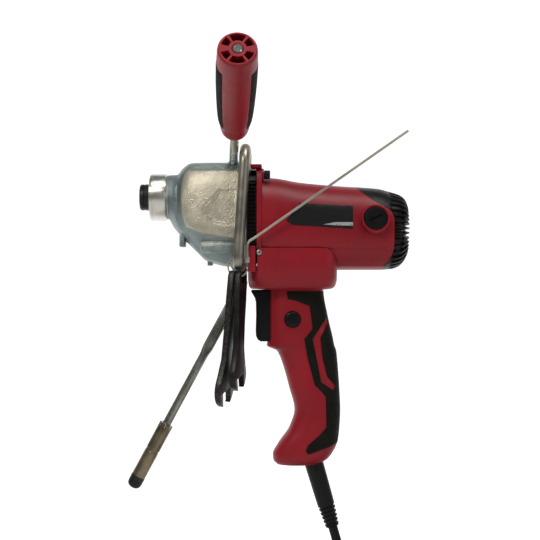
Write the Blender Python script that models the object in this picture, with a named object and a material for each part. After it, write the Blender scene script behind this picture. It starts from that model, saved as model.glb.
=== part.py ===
"""Low-speed electric drain-cleaning drive with a pistol grip, side handle, bail and folding prop.

Metres in Blender; the driving dimensions below are millimetres. +X runs to the rear of the motor,
+Z is up, and the near side of the tool is -Y. The origin is where the hand holds the pistol grip.
"""

import math

import bmesh
import bpy
from mathutils import Matrix, Vector

MM = 0.001
GAP = 0.3  # air left between pieces that touch on the real tool

# Main axes, all along X
MOTOR_Z = 129.3
SPINDLE_Z = 158.2
STAGE_1 = {"module": 0.9, "pinion": 7, "gear": 28}
STAGE_2 = {"module": 1.25, "pinion": 8, "gear": 37}

# Nose and gear housing
SPINDLE_R = 12.0
SPINDLE_FRONT = -146.3
SOCKET_R = 7.0
SOCKET_DEPTH = 30.0
NOSE_R = 21.5
NOSE_FRONT = -136.9
NOSE_REAR = -120.1
HOUSING_REAR = -48.6
HOUSING_WALL = 3.5

# Motor housing and its cap
FLANGE_FRONT = -39.4
FLANGE_REAR = -34.8
BARREL_REAR = 83.1
CAP_REAR = 97.9
BODY_WALL = 3.0
BRUSH_X = 66.0
BRUSH_TILT = math.radians(11.7)

FLANGE_SCREWS = ((22.0, 177.2), (24.0, 112.0))  # y on both sides, z
EAR_SCREW = (-37.1, 107.5)  # x, z of the small screw through each side of the grip's front

# Bail
BAIL_R = 4.8
BAIL_Y = 41.0
BAIL_PIVOT = (-56.0, 97.0)
BAIL_TOP = (-49.4, 200.0)

# Prop rod
PROP_PIVOT = (-52.8, 79.5)
PROP_Y = 8.0
PROP_LEAN = math.radians(28.4)
PROP_LENGTH = 214.0

# Side handle
HANDLE_ROOT = Vector((-60.6, -15.0, 188.5))
HANDLE_AXIS = Vector((8.2, -166.6, 70.7)).normalized()

# Cord
CORD_R = 4.25
CORD_EXIT = Vector((12.8, 0.0, -85.3))
CORD_DIRECTION = Vector((0.283, 0.0, -0.959)).normalized()
FLOOR_Z = -205.0
LANDING_R = 40.0  # bend where the cord meets the floor
COIL_INNER = 36.0
COIL_PITCH = 8.8
COIL_TURNS = 5.0
COIL_OPENING = 6.0  # the first turn opens this much further, so that the cord comes down inside it

RED = ((0.55, 0.02, 0.035), 0.0, 0.42)
BLACK = ((0.02, 0.02, 0.022), 0.0, 0.5)
RUBBER = ((0.025, 0.025, 0.022), 0.0, 0.75)
CAST = ((0.46, 0.49, 0.46), 1.0, 0.45)
STEEL = ((0.6, 0.6, 0.58), 1.0, 0.35)
CHROME = ((0.75, 0.76, 0.78), 1.0, 0.12)
BLACK_STEEL = ((0.03, 0.03, 0.033), 1.0, 0.42)
COPPER = ((0.6, 0.25, 0.1), 1.0, 0.35)
GRAPHITE = ((0.05, 0.05, 0.055), 0.2, 0.6)
NYLON = ((0.62, 0.55, 0.42), 0.0, 0.5)


def clear_scene():
    for old in list(bpy.data.objects):
        bpy.data.objects.remove(old, do_unlink=True)


def material(look):
    colour, metallic, roughness = look
    name = "mat_%02d_%02d_%02d_%d" % (*(round(99 * c) for c in colour), round(metallic))
    if name in bpy.data.materials:
        return bpy.data.materials[name]
    made = bpy.data.materials.new(name)
    made.use_nodes = True
    shader = made.node_tree.nodes["Principled BSDF"]
    shader.inputs["Base Color"].default_value = (*colour, 1.0)
    shader.inputs["Metallic"].default_value = metallic
    shader.inputs["Roughness"].default_value = roughness
    return made


def add(name, bm, look, sharp_deg=35):
    """Turns a bmesh in millimetres into a named object in metres."""
    bmesh.ops.remove_doubles(bm, verts=bm.verts, dist=0.001)
    bmesh.ops.recalc_face_normals(bm, faces=bm.faces)
    bmesh.ops.scale(bm, vec=(MM, MM, MM), verts=bm.verts)
    mesh = bpy.data.meshes.new(name)
    bm.to_mesh(mesh)
    bm.free()
    mesh.materials.append(material(look))
    mesh.shade_smooth()
    mesh.set_sharp_from_angle(angle=math.radians(sharp_deg))
    made = bpy.data.objects.new(name, mesh)
    bpy.context.collection.objects.link(made)
    return made


def combine(target, tools, operation="DIFFERENCE"):
    """Cuts the tools from the target, or joins or intersects them with it, and removes them."""
    for tool in tools:
        step = target.modifiers.new(tool.name, "BOOLEAN")
        step.operation = operation
        step.object = tool
    bpy.context.view_layer.update()
    seen = target.evaluated_get(bpy.context.evaluated_depsgraph_get())
    mesh = bpy.data.meshes.new_from_object(seen)
    target.modifiers.clear()
    target.data = mesh
    for tool in tools:
        bpy.data.objects.remove(tool, do_unlink=True)
    return target


def loft(rings):
    """A closed solid through rings that have the same number of points."""
    bm = bmesh.new()
    rows = [[bm.verts.new(p) for p in ring] for ring in rings]
    for low, high in zip(rows, rows[1:]):
        for i in range(len(low)):
            j = (i + 1) % len(low)
            bm.faces.new((low[i], low[j], high[j], high[i]))
    bm.faces.new(rows[0])
    bm.faces.new(rows[-1])
    return bm


def oval(count, half_a, half_b, power):
    """Points of a superellipse, rounder at power 2 and boxier above."""
    points = []
    for i in range(count):
        c = math.cos(2 * math.pi * (i + 0.5) / count)
        s = math.sin(2 * math.pi * (i + 0.5) / count)
        a = half_a * math.copysign(abs(c) ** (2 / power), c)
        b = half_b * math.copysign(abs(s) ** (2 / power), s)
        points.append((a, b))
    return points


def x_ring(x, bottom, top, half_y, power=2.4, count=24):
    middle, half = (bottom + top) / 2, (top - bottom) / 2
    return [(x, a, middle + b) for a, b in oval(count, half_y, half, power)]


def z_ring(z, front, rear, half_y, power=2.6, count=20):
    middle, half = (front + rear) / 2, (rear - front) / 2
    return [(middle + a, b, z) for a, b in oval(count, half, half_y, power)]


def turned(profile, start, direction, count=18, hollow=False):
    """A turned solid: profile holds (distance along the axis, radius)."""
    turn = Vector(direction).normalized().to_track_quat("Z", "Y").to_matrix().to_4x4()
    place = Matrix.Translation(start) @ turn
    bm = bmesh.new()
    rows = []
    for along, radius in profile:
        if radius < 0.001:
            rows.append([bm.verts.new(place @ Vector((0, 0, along)))])
            continue
        row = []
        for i in range(count):
            angle = 2 * math.pi * i / count
            spot = Vector((radius * math.cos(angle), radius * math.sin(angle), along))
            row.append(bm.verts.new(place @ spot))
        rows.append(row)
    pairs = list(zip(rows, rows[1:]))
    if hollow:
        pairs.append((rows[-1], rows[0]))
    for one, two in pairs:
        for i in range(count):
            j = (i + 1) % count
            corners = [one[i % len(one)], one[j % len(one)], two[j % len(two)], two[i % len(two)]]
            unique = list(dict.fromkeys(corners))
            if len(unique) > 2:
                bm.faces.new(unique)
    if not hollow:
        for row in (rows[0], rows[-1]):
            if len(row) > 1:
                bm.faces.new(row)
    return bm


def ring(inner, outer, start, direction, length, count=18):
    profile = [(0, inner), (0, outer), (length, outer), (length, inner)]
    return turned(profile, start, direction, count, hollow=True)


def rod(radius, start, direction, length, count=16):
    return turned([(0, radius), (length, radius)], start, direction, count)


def prism(outline, low, high, axis="Y"):
    """An outline extruded along an axis: (x, z) points along Y, or (y, z) points along X."""
    if axis == "Y":
        rings = [[(a, depth, b) for a, b in outline] for depth in (low, high)]
    else:
        rings = [[(depth, a, b) for a, b in outline] for depth in (low, high)]
    return loft(rings)


def block(x, y, z):
    return prism([(x[0], z[0]), (x[1], z[0]), (x[1], z[1]), (x[0], z[1])], y[0], y[1])


def tube(name, points, radius, look, sides=3):
    """A round bar or cord along points, with closed ends."""
    curve = bpy.data.curves.new(name, "CURVE")
    curve.dimensions = "3D"
    curve.bevel_depth = radius * MM
    curve.bevel_resolution = sides
    curve.use_fill_caps = True
    spline = curve.splines.new("POLY")
    spline.points.add(len(points) - 1)
    for point, place in zip(spline.points, points):
        point.co = (*(Vector(place) * MM), 1.0)
    curve.materials.append(material(look))
    made = bpy.data.objects.new(name, curve)
    bpy.context.collection.objects.link(made)
    return made


def smooth_line(points, count):
    """Evenly spaced points on a smooth curve through the given ones."""
    places = [Vector(p) for p in points]
    places = [2 * places[0] - places[1]] + places + [2 * places[-1] - places[-2]]
    fine = []
    for a, b, c, d in zip(places, places[1:], places[2:], places[3:]):
        for i in range(16):
            t = i / 16
            line = 2 * b + (c - a) * t + (2 * a - 5 * b + 4 * c - d) * t * t
            fine.append((line + (3 * b - a - 3 * c + d) * t ** 3) / 2)
    fine.append(places[-2])
    along = [0.0]
    for a, b in zip(fine, fine[1:]):
        along.append(along[-1] + (b - a).length)
    even, k = [], 0
    for i in range(count):
        want = along[-1] * i / (count - 1)
        while k < len(fine) - 2 and along[k + 1] < want:
            k += 1
        share = (want - along[k]) / max(along[k + 1] - along[k], 1e-9)
        even.append(fine[k].lerp(fine[k + 1], min(share, 1.0)))
    return even


# ---------------------------------------------------------------- gears
def gear_outline(teeth, module, phase, addendum, dedendum, slack):
    """Involute teeth, one centred on the phase angle; slack thins each flank."""
    pitch = module * teeth / 2
    base = pitch * math.cos(math.radians(20))
    low, tip = max(base, pitch - dedendum), pitch + addendum

    def involute(radius):
        angle = math.acos(min(1.0, base / radius))
        return math.tan(angle) - angle

    def half_tooth(radius):
        return math.pi / (2 * teeth) - slack / pitch + involute(pitch) - involute(radius)

    radii = [low, tip]
    if pitch - dedendum < base:
        radii.insert(0, pitch - dedendum)
    points = []
    for tooth in range(teeth):
        centre = phase + 2 * math.pi * tooth / teeth
        flank = [(r, centre - half_tooth(max(r, base))) for r in radii]
        flank += [(r, centre + half_tooth(max(r, base))) for r in reversed(radii)]
        points += [(r * math.cos(a), r * math.sin(a)) for r, a in flank]
    return points


def gear(outline, centre, low, high):
    return prism([(centre[0] + a, centre[1] + b) for a, b in outline], low, high, "X")


def layshaft_place():
    """The layshaft lies where both centre distances are met."""
    first = STAGE_1["module"] * (STAGE_1["pinion"] + STAGE_1["gear"]) / 2
    second = STAGE_2["module"] * (STAGE_2["pinion"] + STAGE_2["gear"]) / 2
    drop = SPINDLE_Z - MOTOR_Z
    rise = (first ** 2 - second ** 2 + drop ** 2) / (2 * drop)
    return math.sqrt(first ** 2 - rise ** 2), MOTOR_Z + rise


def gear_train():
    lay_y, lay_z = layshaft_place()
    to_lay = math.atan2(lay_z - MOTOR_Z, lay_y)
    to_spindle = math.atan2(SPINDLE_Z - lay_z, -lay_y)

    shaft = [(-60.6, 0), (-60.6, 1.9), (-50, 1.9), (-50, 3.6), (-45, 4.0), (-36.5, 4.0)]
    shaft += [(-36.5, 5.5), (78, 5.5), (78, 4.0), (91.3, 4.0), (91.3, 0)]
    armature = add("armature_shaft", turned(shaft, (0, 0, MOTOR_Z), (1, 0, 0), 20), STEEL)
    teeth = gear_outline(STAGE_1["pinion"], STAGE_1["module"], to_lay, 0.9, 1.0, 0.12)
    combine(armature, [add("teeth", gear(teeth, (0, MOTOR_Z), -60, -50.4), STEEL)], "UNION")

    gap_angle = to_lay + math.pi + math.pi / STAGE_1["gear"]
    teeth = gear_outline(STAGE_1["gear"], STAGE_1["module"], gap_angle, 0.6, 1.15, 0.12)
    wheel = add("layshaft_gear", gear(teeth, (lay_y, lay_z), -59, -51.4), STEEL)
    combine(wheel, [add("bore", rod(3.5 + GAP, (-70, lay_y, lay_z), (1, 0, 0), 30), STEEL)])

    shaft = [(-98.5, 0), (-98.5, 3.0), (-92.6, 3.0), (-92.6, 3.5), (-50, 3.5)]
    shaft += [(-50, 3.0), (-45.7, 3.0), (-45.7, 0)]
    lay = add("layshaft", turned(shaft, (0, lay_y, lay_z), (1, 0, 0), 20), STEEL)
    teeth = gear_outline(STAGE_2["pinion"], STAGE_2["module"], to_spindle, 1.1, 1.2, 0.15)
    combine(lay, [add("teeth", gear(teeth, (lay_y, lay_z), -81, -64.5), STEEL)], "UNION")

    gap_angle = to_spindle + math.pi + math.pi / STAGE_2["gear"]
    teeth = gear_outline(STAGE_2["gear"], STAGE_2["module"], gap_angle, 0.7, 1.4, 0.15)
    wheel = add("output_gear", gear(teeth, (0, SPINDLE_Z), -80, -66), STEEL)
    combine(wheel, [add("bore", rod(7.5 + GAP, (-90, 0, SPINDLE_Z), (1, 0, 0), 40), STEEL)])

    x0, bottom = SPINDLE_FRONT, SPINDLE_FRONT + SOCKET_DEPTH
    shaft = [(bottom, 0), (bottom, SOCKET_R), (x0, SOCKET_R), (x0, SPINDLE_R - 1)]
    shaft += [(x0 + 1, SPINDLE_R), (-112.6, SPINDLE_R), (-112.6, 7.5), (-61, 7.5)]
    shaft += [(-61, 5.0), (-50.9, 5.0), (-50.9, 0)]
    add("output_spindle", turned(shaft, (0, 0, SPINDLE_Z), (1, 0, 0), 32), BLACK_STEEL)

    seats = [("spindle_bearing_front", 7.5, 16, -111.6, 10, (0, SPINDLE_Z)),
             ("spindle_bearing_rear", 5.0, 10.7, -60.4, 7, (0, SPINDLE_Z)),
             ("layshaft_bush_front", 3.0, 6.0, -98.3, 5.4, (lay_y, lay_z)),
             ("layshaft_bush_rear", 3.0, 5.4, -49.2, 3.6, (lay_y, lay_z)),
             ("motor_bearing_front", 4.0, 9.4, -44.6, 7.4, (0, MOTOR_Z)),
             ("motor_bearing_rear", 4.0, 9.4, 84.6, 6.4, (0, MOTOR_Z))]
    for name, inner, outer, x, length, centre in seats:
        add(name, ring(inner + GAP, outer, (x, *centre), (1, 0, 0), length), STEEL)


# ---------------------------------------------------------------- gear housing
def housing_rings(inset=0.0, front=-120.0):
    stations = [(-120.0, 138.4, 178.5, 20.1, 2.0), (-115.5, 130.6, 178.6, 22.5, 2.0),
                (-111.8, 126.0, 179.2, 25.0, 2.1), (-108.0, 122.0, 183.6, 28.0, 2.2),
                (-104.0, 117.5, 187.0, 30.5, 2.4), (-99.6, 113.2, 189.2, 32.5, 2.6),
                (-94.4, 108.2, 189.5, 33.8, 2.8), (-85.3, 99.9, 189.5, 34.8, 3.0),
                (-75.0, 96.5, 189.5, 35.0, 3.2), (-66.5, 94.7, 189.5, 35.0, 3.3),
                (HOUSING_REAR, 94.2, 189.5, 35.0, 3.3)]
    made = []
    for x, bottom, top, half, power in stations:
        if x >= front:
            made.append(x_ring(x, bottom + inset, top - inset, half - inset, power))
    if inset:
        made.append([(p[0] + 5, p[1], p[2]) for p in made[-1]])
    return made


def gear_housing():
    housing = add("gear_housing", loft(housing_rings()), CAST)
    pivot_x, pivot_z = BAIL_PIVOT
    boss = rod(7.2, (pivot_x, -23, pivot_z), (0, 1, 0), 46)
    cheeks = []
    for low in (1.8, 11.0):
        outline = [(-58, 74.0), (-48.8, 74.0), (-48.8, 92), (-50, 99), (-62, 99), (-62, 90)]
        cheeks.append(add("cheek", prism(outline, low, low + 3.2), CAST))
    nose = rod(20.0, (-121.0, 0, SPINDLE_Z), (1, 0, 0), 12, 32)
    pad = rod(6.6, HANDLE_ROOT - HANDLE_AXIS * 10.5, HANDLE_AXIS, 4.5)
    pads = [add("boss", boss, CAST), add("nose", nose, CAST), *cheeks]
    combine(housing, pads, "UNION")
    combine(housing, [add("cavity", loft(housing_rings(HOUSING_WALL, -94.5)), CAST)])
    ridge = add("pad", pad, CAST)
    combine(housing, [ridge], "UNION")
    lay_y, lay_z = layshaft_place()
    x_dir = (1, 0, 0)
    holes = [rod(16.0 + GAP, (-111.9, 0, SPINDLE_Z), x_dir, 20, 32),
             rod(SPINDLE_R + 0.6, (-125, 0, SPINDLE_Z), x_dir, 16, 32),
             rod(6.0 + GAP, (-98.9, lay_y, lay_z), x_dir, 8),
             rod(4.25 + GAP, HANDLE_ROOT - HANDLE_AXIS * 8.6, HANDLE_AXIS, 40),
             rod(2.6, (PROP_PIVOT[0], -2, PROP_PIVOT[1]), (0, 1, 0), 20)]
    for side in (-1, 1):
        holes.append(rod(BAIL_R + GAP, (pivot_x, side * 17, pivot_z), (0, side, 0), 20))
        for y, z in FLANGE_SCREWS:
            holes.append(rod(2.5, (-66, side * y, z), x_dir, 20, 8))
    towers = []
    for side in (-1, 1):
        for y, z in FLANGE_SCREWS:
            towers.append(add("tower", rod(5.2, (-68, side * y, z), x_dir, 19, 10), CAST))
    combine(housing, towers, "UNION")
    combine(housing, [add("hole", hole, CAST) for hole in holes])

    profile = [(NOSE_FRONT, SPINDLE_R + 0.6), (NOSE_FRONT, NOSE_R - 1), (NOSE_FRONT + 1, NOSE_R)]
    profile += [(-121.4, NOSE_R), (-121.4, SPINDLE_R + 0.6)]
    start = (0, 0, SPINDLE_Z)
    add("nose_sleeve", turned(profile, start, (1, 0, 0), 32, hollow=True), CHROME)

    plate = add("gear_plate", loft([x_ring(x, 99.4, 182.0, 30.4, 3.0) for x in (-49.6, -45)]), CAST)
    bosses = [rod(13.0, (-61.2, 0, SPINDLE_Z), x_dir, 13), rod(11.9, (-47, 0, MOTOR_Z), x_dir, 10)]
    combine(plate, [add("boss", boss, CAST) for boss in bosses], "UNION")
    holes = [rod(10.7 + GAP, (-65, 0, SPINDLE_Z), x_dir, 11.9),
             rod(5.3, (-60, 0, SPINDLE_Z), x_dir, 9.8),
             rod(4.6, (-60, 0, MOTOR_Z), x_dir, 20), rod(9.4 + GAP, (-44.9, 0, MOTOR_Z), x_dir, 20),
             rod(5.4 + GAP, (-50.5, lay_y, lay_z), x_dir, 5.1)]
    for side in (-1, 1):
        for y, z in FLANGE_SCREWS:
            holes.append(rod(5.6, (-55, side * y, z), x_dir, 20, 10))
    combine(plate, [add("hole", hole, CAST) for hole in holes])


# ---------------------------------------------------------------- motor
def barrel_rings(grow=0.0):
    stations = [(FLANGE_FRONT, 97.5, 186.5, 35.0, 3.4), (FLANGE_REAR, 97.5, 186.5, 35.0, 3.4),
                (FLANGE_REAR + 0.05, 97.5, 175.8, 35.0, 2.6), (-26.0, 92.5, 175.6, 35.0, 2.5),
                (0.9, 90.5, 171.4, 35.0, 2.4), (30.0, 91.7, 168.7, 35.0, 2.3), (70.0, 91.7, 166.0, 35.0, 2.3),
                (83.5, 92.6, 162.6, 34.4, 2.2), (90.0, 95.0, 160.5, 33.0, 2.2),
                (95.5, 101.0, 156.5, 28.5, 2.1), (CAP_REAR, 106.0, 151.0, 23.0, 2.0)]
    made = []
    for x, bottom, top, half, power in stations:
        made.append(x_ring(x, bottom - grow, top + grow, half + grow, power))
    return made


def rear_split(shift=0.0):
    """Side view of where the red barrel ends: swept forward at the top and the bottom."""
    s = shift
    return [(-70, 60), (72.4 + s, 60), (72.4 + s, 92), (BARREL_REAR + s, 114.6),
            (BARREL_REAR + s, 153), (55.7 + s, 165.5), (55.7 + s, 200), (-70, 200)]


def brush_axes():
    return [Vector((0, side * math.cos(BRUSH_TILT), -side * math.sin(BRUSH_TILT)))
            for side in (-1, 1)]


def motor_housing():
    body = add("motor_housing", loft(barrel_rings()), RED)
    centre = Vector((BRUSH_X, 0, MOTOR_Z))
    x_dir = (1, 0, 0)
    bosses = [add("boss", rod(12.8, centre + a * 20, a, 21.4, 20), RED) for a in brush_axes()]
    combine(body, bosses, "UNION")
    combine(body, [add("keep", prism(rear_split(), -60, 60), RED)], "INTERSECT")
    inner = [x_ring(FLANGE_FRONT - 5, 101, 168, 31.9, 2.4), x_ring(-27, 97, 168, 31.9, 2.4),
             x_ring(78, 96, 163, 31.9, 2.3)]
    holes = [add("cavity", loft(inner), RED), add("rear", rod(20, (70, 0, MOTOR_Z), x_dir, 20), RED)]
    for a in brush_axes():
        holes.append(add("cap_seat", rod(10.6 + GAP, centre + a * 34, a, 20, 18), RED))
        holes.append(add("brush_slot", rod(6.0, centre + a * 20, a, 20, 16), RED))
    for side in (-1, 1):
        for y, z in FLANGE_SCREWS:
            holes.append(add("screw", rod(2.5, (-50, side * y, z), x_dir, 30 if z > 150 else 12, 12), RED))
        ear_x, ear_z = EAR_SCREW
        holes.append(add("ear", rod(1.5, (ear_x, side * 25, ear_z), (0, side, 0), 20, 12), RED))
    combine(body, holes)

    cap = add("end_cap", loft(barrel_rings()), BLACK)
    rear = [(100, 60), (100, 200), (55.7 + GAP, 200), (55.7 + GAP, 165.6),
            (BARREL_REAR + GAP, 153.2), (BARREL_REAR + GAP, 114.5), (72.4 + GAP, 91.8), (72.4 + GAP, 60)]
    combine(cap, [add("keep", prism(rear, -60, 60), BLACK)], "INTERSECT")
    clear = [add("clear", rod(13.2, centre + a * 20, a, 30, 20), BLACK) for a in brush_axes()]
    hollow = [x_ring(50, 96, 163, 31.9, 2.3), x_ring(83, 96, 160, 31.5, 2.2),
              x_ring(90, 99, 157, 30.0, 2.1), x_ring(93.6, 104, 153, 25.5, 2.0)]
    combine(cap, clear + [add("hollow", loft(hollow), BLACK)])
    combine(cap, [add("hub", rod(12.6, (84.3, 0, MOTOR_Z), x_dir, 11), BLACK)], "UNION")
    combine(cap, [add("seat", rod(9.4 + GAP, (80, 0, MOTOR_Z), x_dir, 11.9), BLACK)])
    notches = []
    for i in range(14):
        angle = 2 * math.pi * (i + 0.5) / 14
        spot = Vector((94.6, 29.5 * math.cos(angle), 128 + 30.5 * math.sin(angle)))
        notches.append(add("notch", block((spot.x, spot.x + 8), (spot.y - 1.6, spot.y + 1.6),
                                          (spot.z - 1.6, spot.z + 1.6)), BLACK))
    combine(cap, notches)

    ring_body = add("vent_ring", loft([x_ring(x, 96, 183.2, 33.0, 3.2) for x in (-48.3, -39.7)]), BLACK)
    tools = [add("bore", loft([x_ring(x, 99.6, 179.8, 29.6, 3.0) for x in (-44.7, -30)]), BLACK)]
    tools.append(add("seat", loft([x_ring(x, 99.0, 182.4, 30.8, 3.0) for x in (-55, -44.6)]), BLACK))
    for side in (-1, 1):
        for i in range(5):
            z = 118 + 9.5 * i
            y = sorted((side * 24, side * 40))
            tools.append(add("slot", block((-43.5, -41.0), y, (z, z + 5.0)), BLACK))
    combine(ring_body, tools)
    pieces = []
    for side in (-1, 1):
        for y, z in FLANGE_SCREWS:
            pieces.append(add("ear", rod(5.0, (-44.3, side * y, z), x_dir, 4.1, 12), BLACK))
    combine(ring_body, pieces, "UNION")
    holes = []
    for side in (-1, 1):
        for y, z in FLANGE_SCREWS:
            holes.append(add("hole", rod(2.5, (-60, side * y, z), x_dir, 30, 8), BLACK))
    combine(ring_body, holes)

    number = 0
    for y, z in FLANGE_SCREWS:
        for side in (-1, 1):
            number += 1
            head = FLANGE_REAR + GAP + 0.1
            shank = [(-64, 0), (-64, 2.1), (head, 2.1), (head, 3.8), (head + 3.4, 3.4), (head + 3.4, 0)]
            if z < 150:
                head = -38.3
                shank = [(-64, 0), (-64, 2.1), (head, 2.1), (head, 2.2), (head + 0.2, 0)]
            screw = turned(shank, (0, side * y, z), x_dir, 14)
            add("housing_screw_%d" % number, screw, BLACK_STEEL)


def motor_parts():
    x_dir = (1, 0, 0)
    centre = (0, 0, MOTOR_Z)
    outline = []
    for i in range(48):
        angle = 2 * math.pi * (i + 0.5) / 48
        radius = 16.5 if i % 4 == 0 else 19.3
        outline.append((radius * math.cos(angle), radius * math.sin(angle)))
    core = add("armature_core", gear(outline, (0, MOTOR_Z), -22, 34), STEEL)
    combine(core, [add("bore", rod(5.5 + GAP, (-40, 0, MOTOR_Z), x_dir, 90), STEEL)])
    add("commutator", ring(5.5 + GAP, 12.4, (57, *centre[1:]), x_dir, 17, 28), COPPER)

    profile = [(-35.9, 5.5 + GAP), (-35.9, 9.0), (-29.6, 9.0), (-29.6, 27.5), (-27.6, 27.5)]
    profile.append((-27.6, 5.5 + GAP))
    fan = add("cooling_fan", turned(profile, centre, x_dir, 20, hollow=True), BLACK)
    blades = []
    for i in range(9):
        angle = 2 * math.pi * i / 9
        blade = block((-35.4, -28.6), (7.5, 26.8), (-0.9, 0.9))
        bmesh.ops.rotate(blade, cent=(0, 0, 0), matrix=Matrix.Rotation(angle, 3, "X"), verts=blade.verts)
        bmesh.ops.translate(blade, vec=(0, 0, MOTOR_Z), verts=blade.verts)
        blades.append(add("blade", blade, BLACK))
    combine(fan, blades, "UNION")

    inner = []
    for i in range(40):
        angle = 2 * math.pi * i / 40
        window = abs(math.sin(angle)) > math.sin(math.radians(58))
        radius = 27.4 if window else 20.0
        inner.append((radius * math.cos(angle), radius * math.sin(angle)))
    field = add("field_core", rod(31.4, (-22, 0, MOTOR_Z), x_dir, 56, 40), STEEL)
    combine(field, [add("opening", gear(inner, (0, MOTOR_Z), -30, 40), STEEL)])
    for name, side in (("field_coil_upper", 1), ("field_coil_lower", -1)):
        arc = [(r, math.radians(90 - 27 + 54 * i / 8)) for r in (20.6,) for i in range(9)]
        arc += [(r, math.radians(90 + 27 - 54 * i / 8)) for r in (26.6,) for i in range(9)]
        outline = [(r * math.cos(a), side * r * math.sin(a)) for r, a in arc]
        add(name, gear(outline, (0, MOTOR_Z), -26.6, 42), COPPER)

    middle = Vector((BRUSH_X, 0, MOTOR_Z))
    for label, a in zip(("left", "right"), brush_axes()):
        up = Vector((1, 0, 0)).cross(a)
        brush = []
        for x, u in ((-3, -2.6), (3, -2.6), (3, 2.6), (-3, 2.6)):
            brush.append(Vector((x, 0, 0)) + up * u)
        rings = [[middle + a * depth + p for p in brush] for depth in (12.8, 30.0)]
        add("carbon_brush_" + label, loft(rings), GRAPHITE)
        cap = [(34.4, 0), (34.4, 10.2), (41.0, 10.5), (42.4, 9.8), (42.4, 0)]
        made = add("brush_cap_" + label, turned(cap, middle, a, 18), BLACK)
        slot = []
        for x, u in ((-7, -0.8), (7, -0.8), (7, 0.8), (-7, 0.8)):
            slot.append(Vector((x, 0, 0)) + up * u)
        rings = [[middle + a * depth + p for p in slot] for depth in (41.2, 45.0)]
        combine(made, [add("slot", loft(rings), BLACK)])


# ---------------------------------------------------------------- pistol grip
def grip_rings(inset=0.0, top=111.5, bottom=-90.0):
    stations = [(111.5, -47.4, 33.0, 33.4, 6), (98.0, -47.4, 33.2, 33.6, 6), (84.0, -47.4, 33.2, 31.5, 5),
                (77.0, -46.6, 31.8, 28.5, 4), (74.6, -44.6, 28.5, 25.5, 4), (73.6, -28.4, 21.0, 17.8, 3),
                (50.0, -28.4, 24.8, 17.8, 3), (31.0, -28.6, 29.3, 18.2, 2.8), (22.6, -30.6, 31.0, 18.0, 2.6),
                (18.3, -21.5, 32.6, 17.8, 2.6), (6.0, -16.0, 33.9, 17.6, 2.5), (-14.7, -10.2, 35.4, 17.8, 2.5),
                (-36.0, -5.2, 36.3, 18.2, 2.5), (-51.3, -9.7, 35.6, 18.8, 2.5), (-66.9, -20.2, 33.6, 19.4, 2.5),
                (-76.6, -25.0, 28.6, 19.2, 2.5), (-82.0, -24.4, 23.5, 17.6, 2.4), (-85.6, -21.0, 16.0, 13.5, 2.2)]
    made = []
    for z, front, rear, half, power in stations:
        if bottom <= z <= top:
            made.append(z_ring(z, front + inset, rear - inset, half - inset, power))
    return made


def cover_outline(grow=0.0):
    """Side view of the soft cover on the back of the grip."""
    points = [(-12.5, 72.5), (-11.5, 65.5), (-4.0, 64.0), (5.2, 60.3), (8.1, 59.4), (9.9, 47.5),
              (10.8, 38.5), (3.4, 29.5), (6.2, 13.0), (10.8, -4.5), (12.8, -12.0), (18.7, -17.8),
              (22.9, -23.0), (23.4, -50.5), (17.4, -57.0), (7.0, -66.0), (4.5, -71.5), (7.1, -74.5),
              (20.8, -69.8), (33.4, -65.6), (45.0, -62.0), (45.0, 72.5)]
    if not grow:
        return points
    middle = Vector((24.0, 0.0))
    grown = []
    count = len(points)
    for i, point in enumerate(points):
        before, after = Vector(points[i - 1]), Vector(points[(i + 1) % count])
        along = (after - before).normalized()
        grown.append(tuple(Vector(point) + Vector((-along.y, along.x)) * -grow))
    return grown


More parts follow.
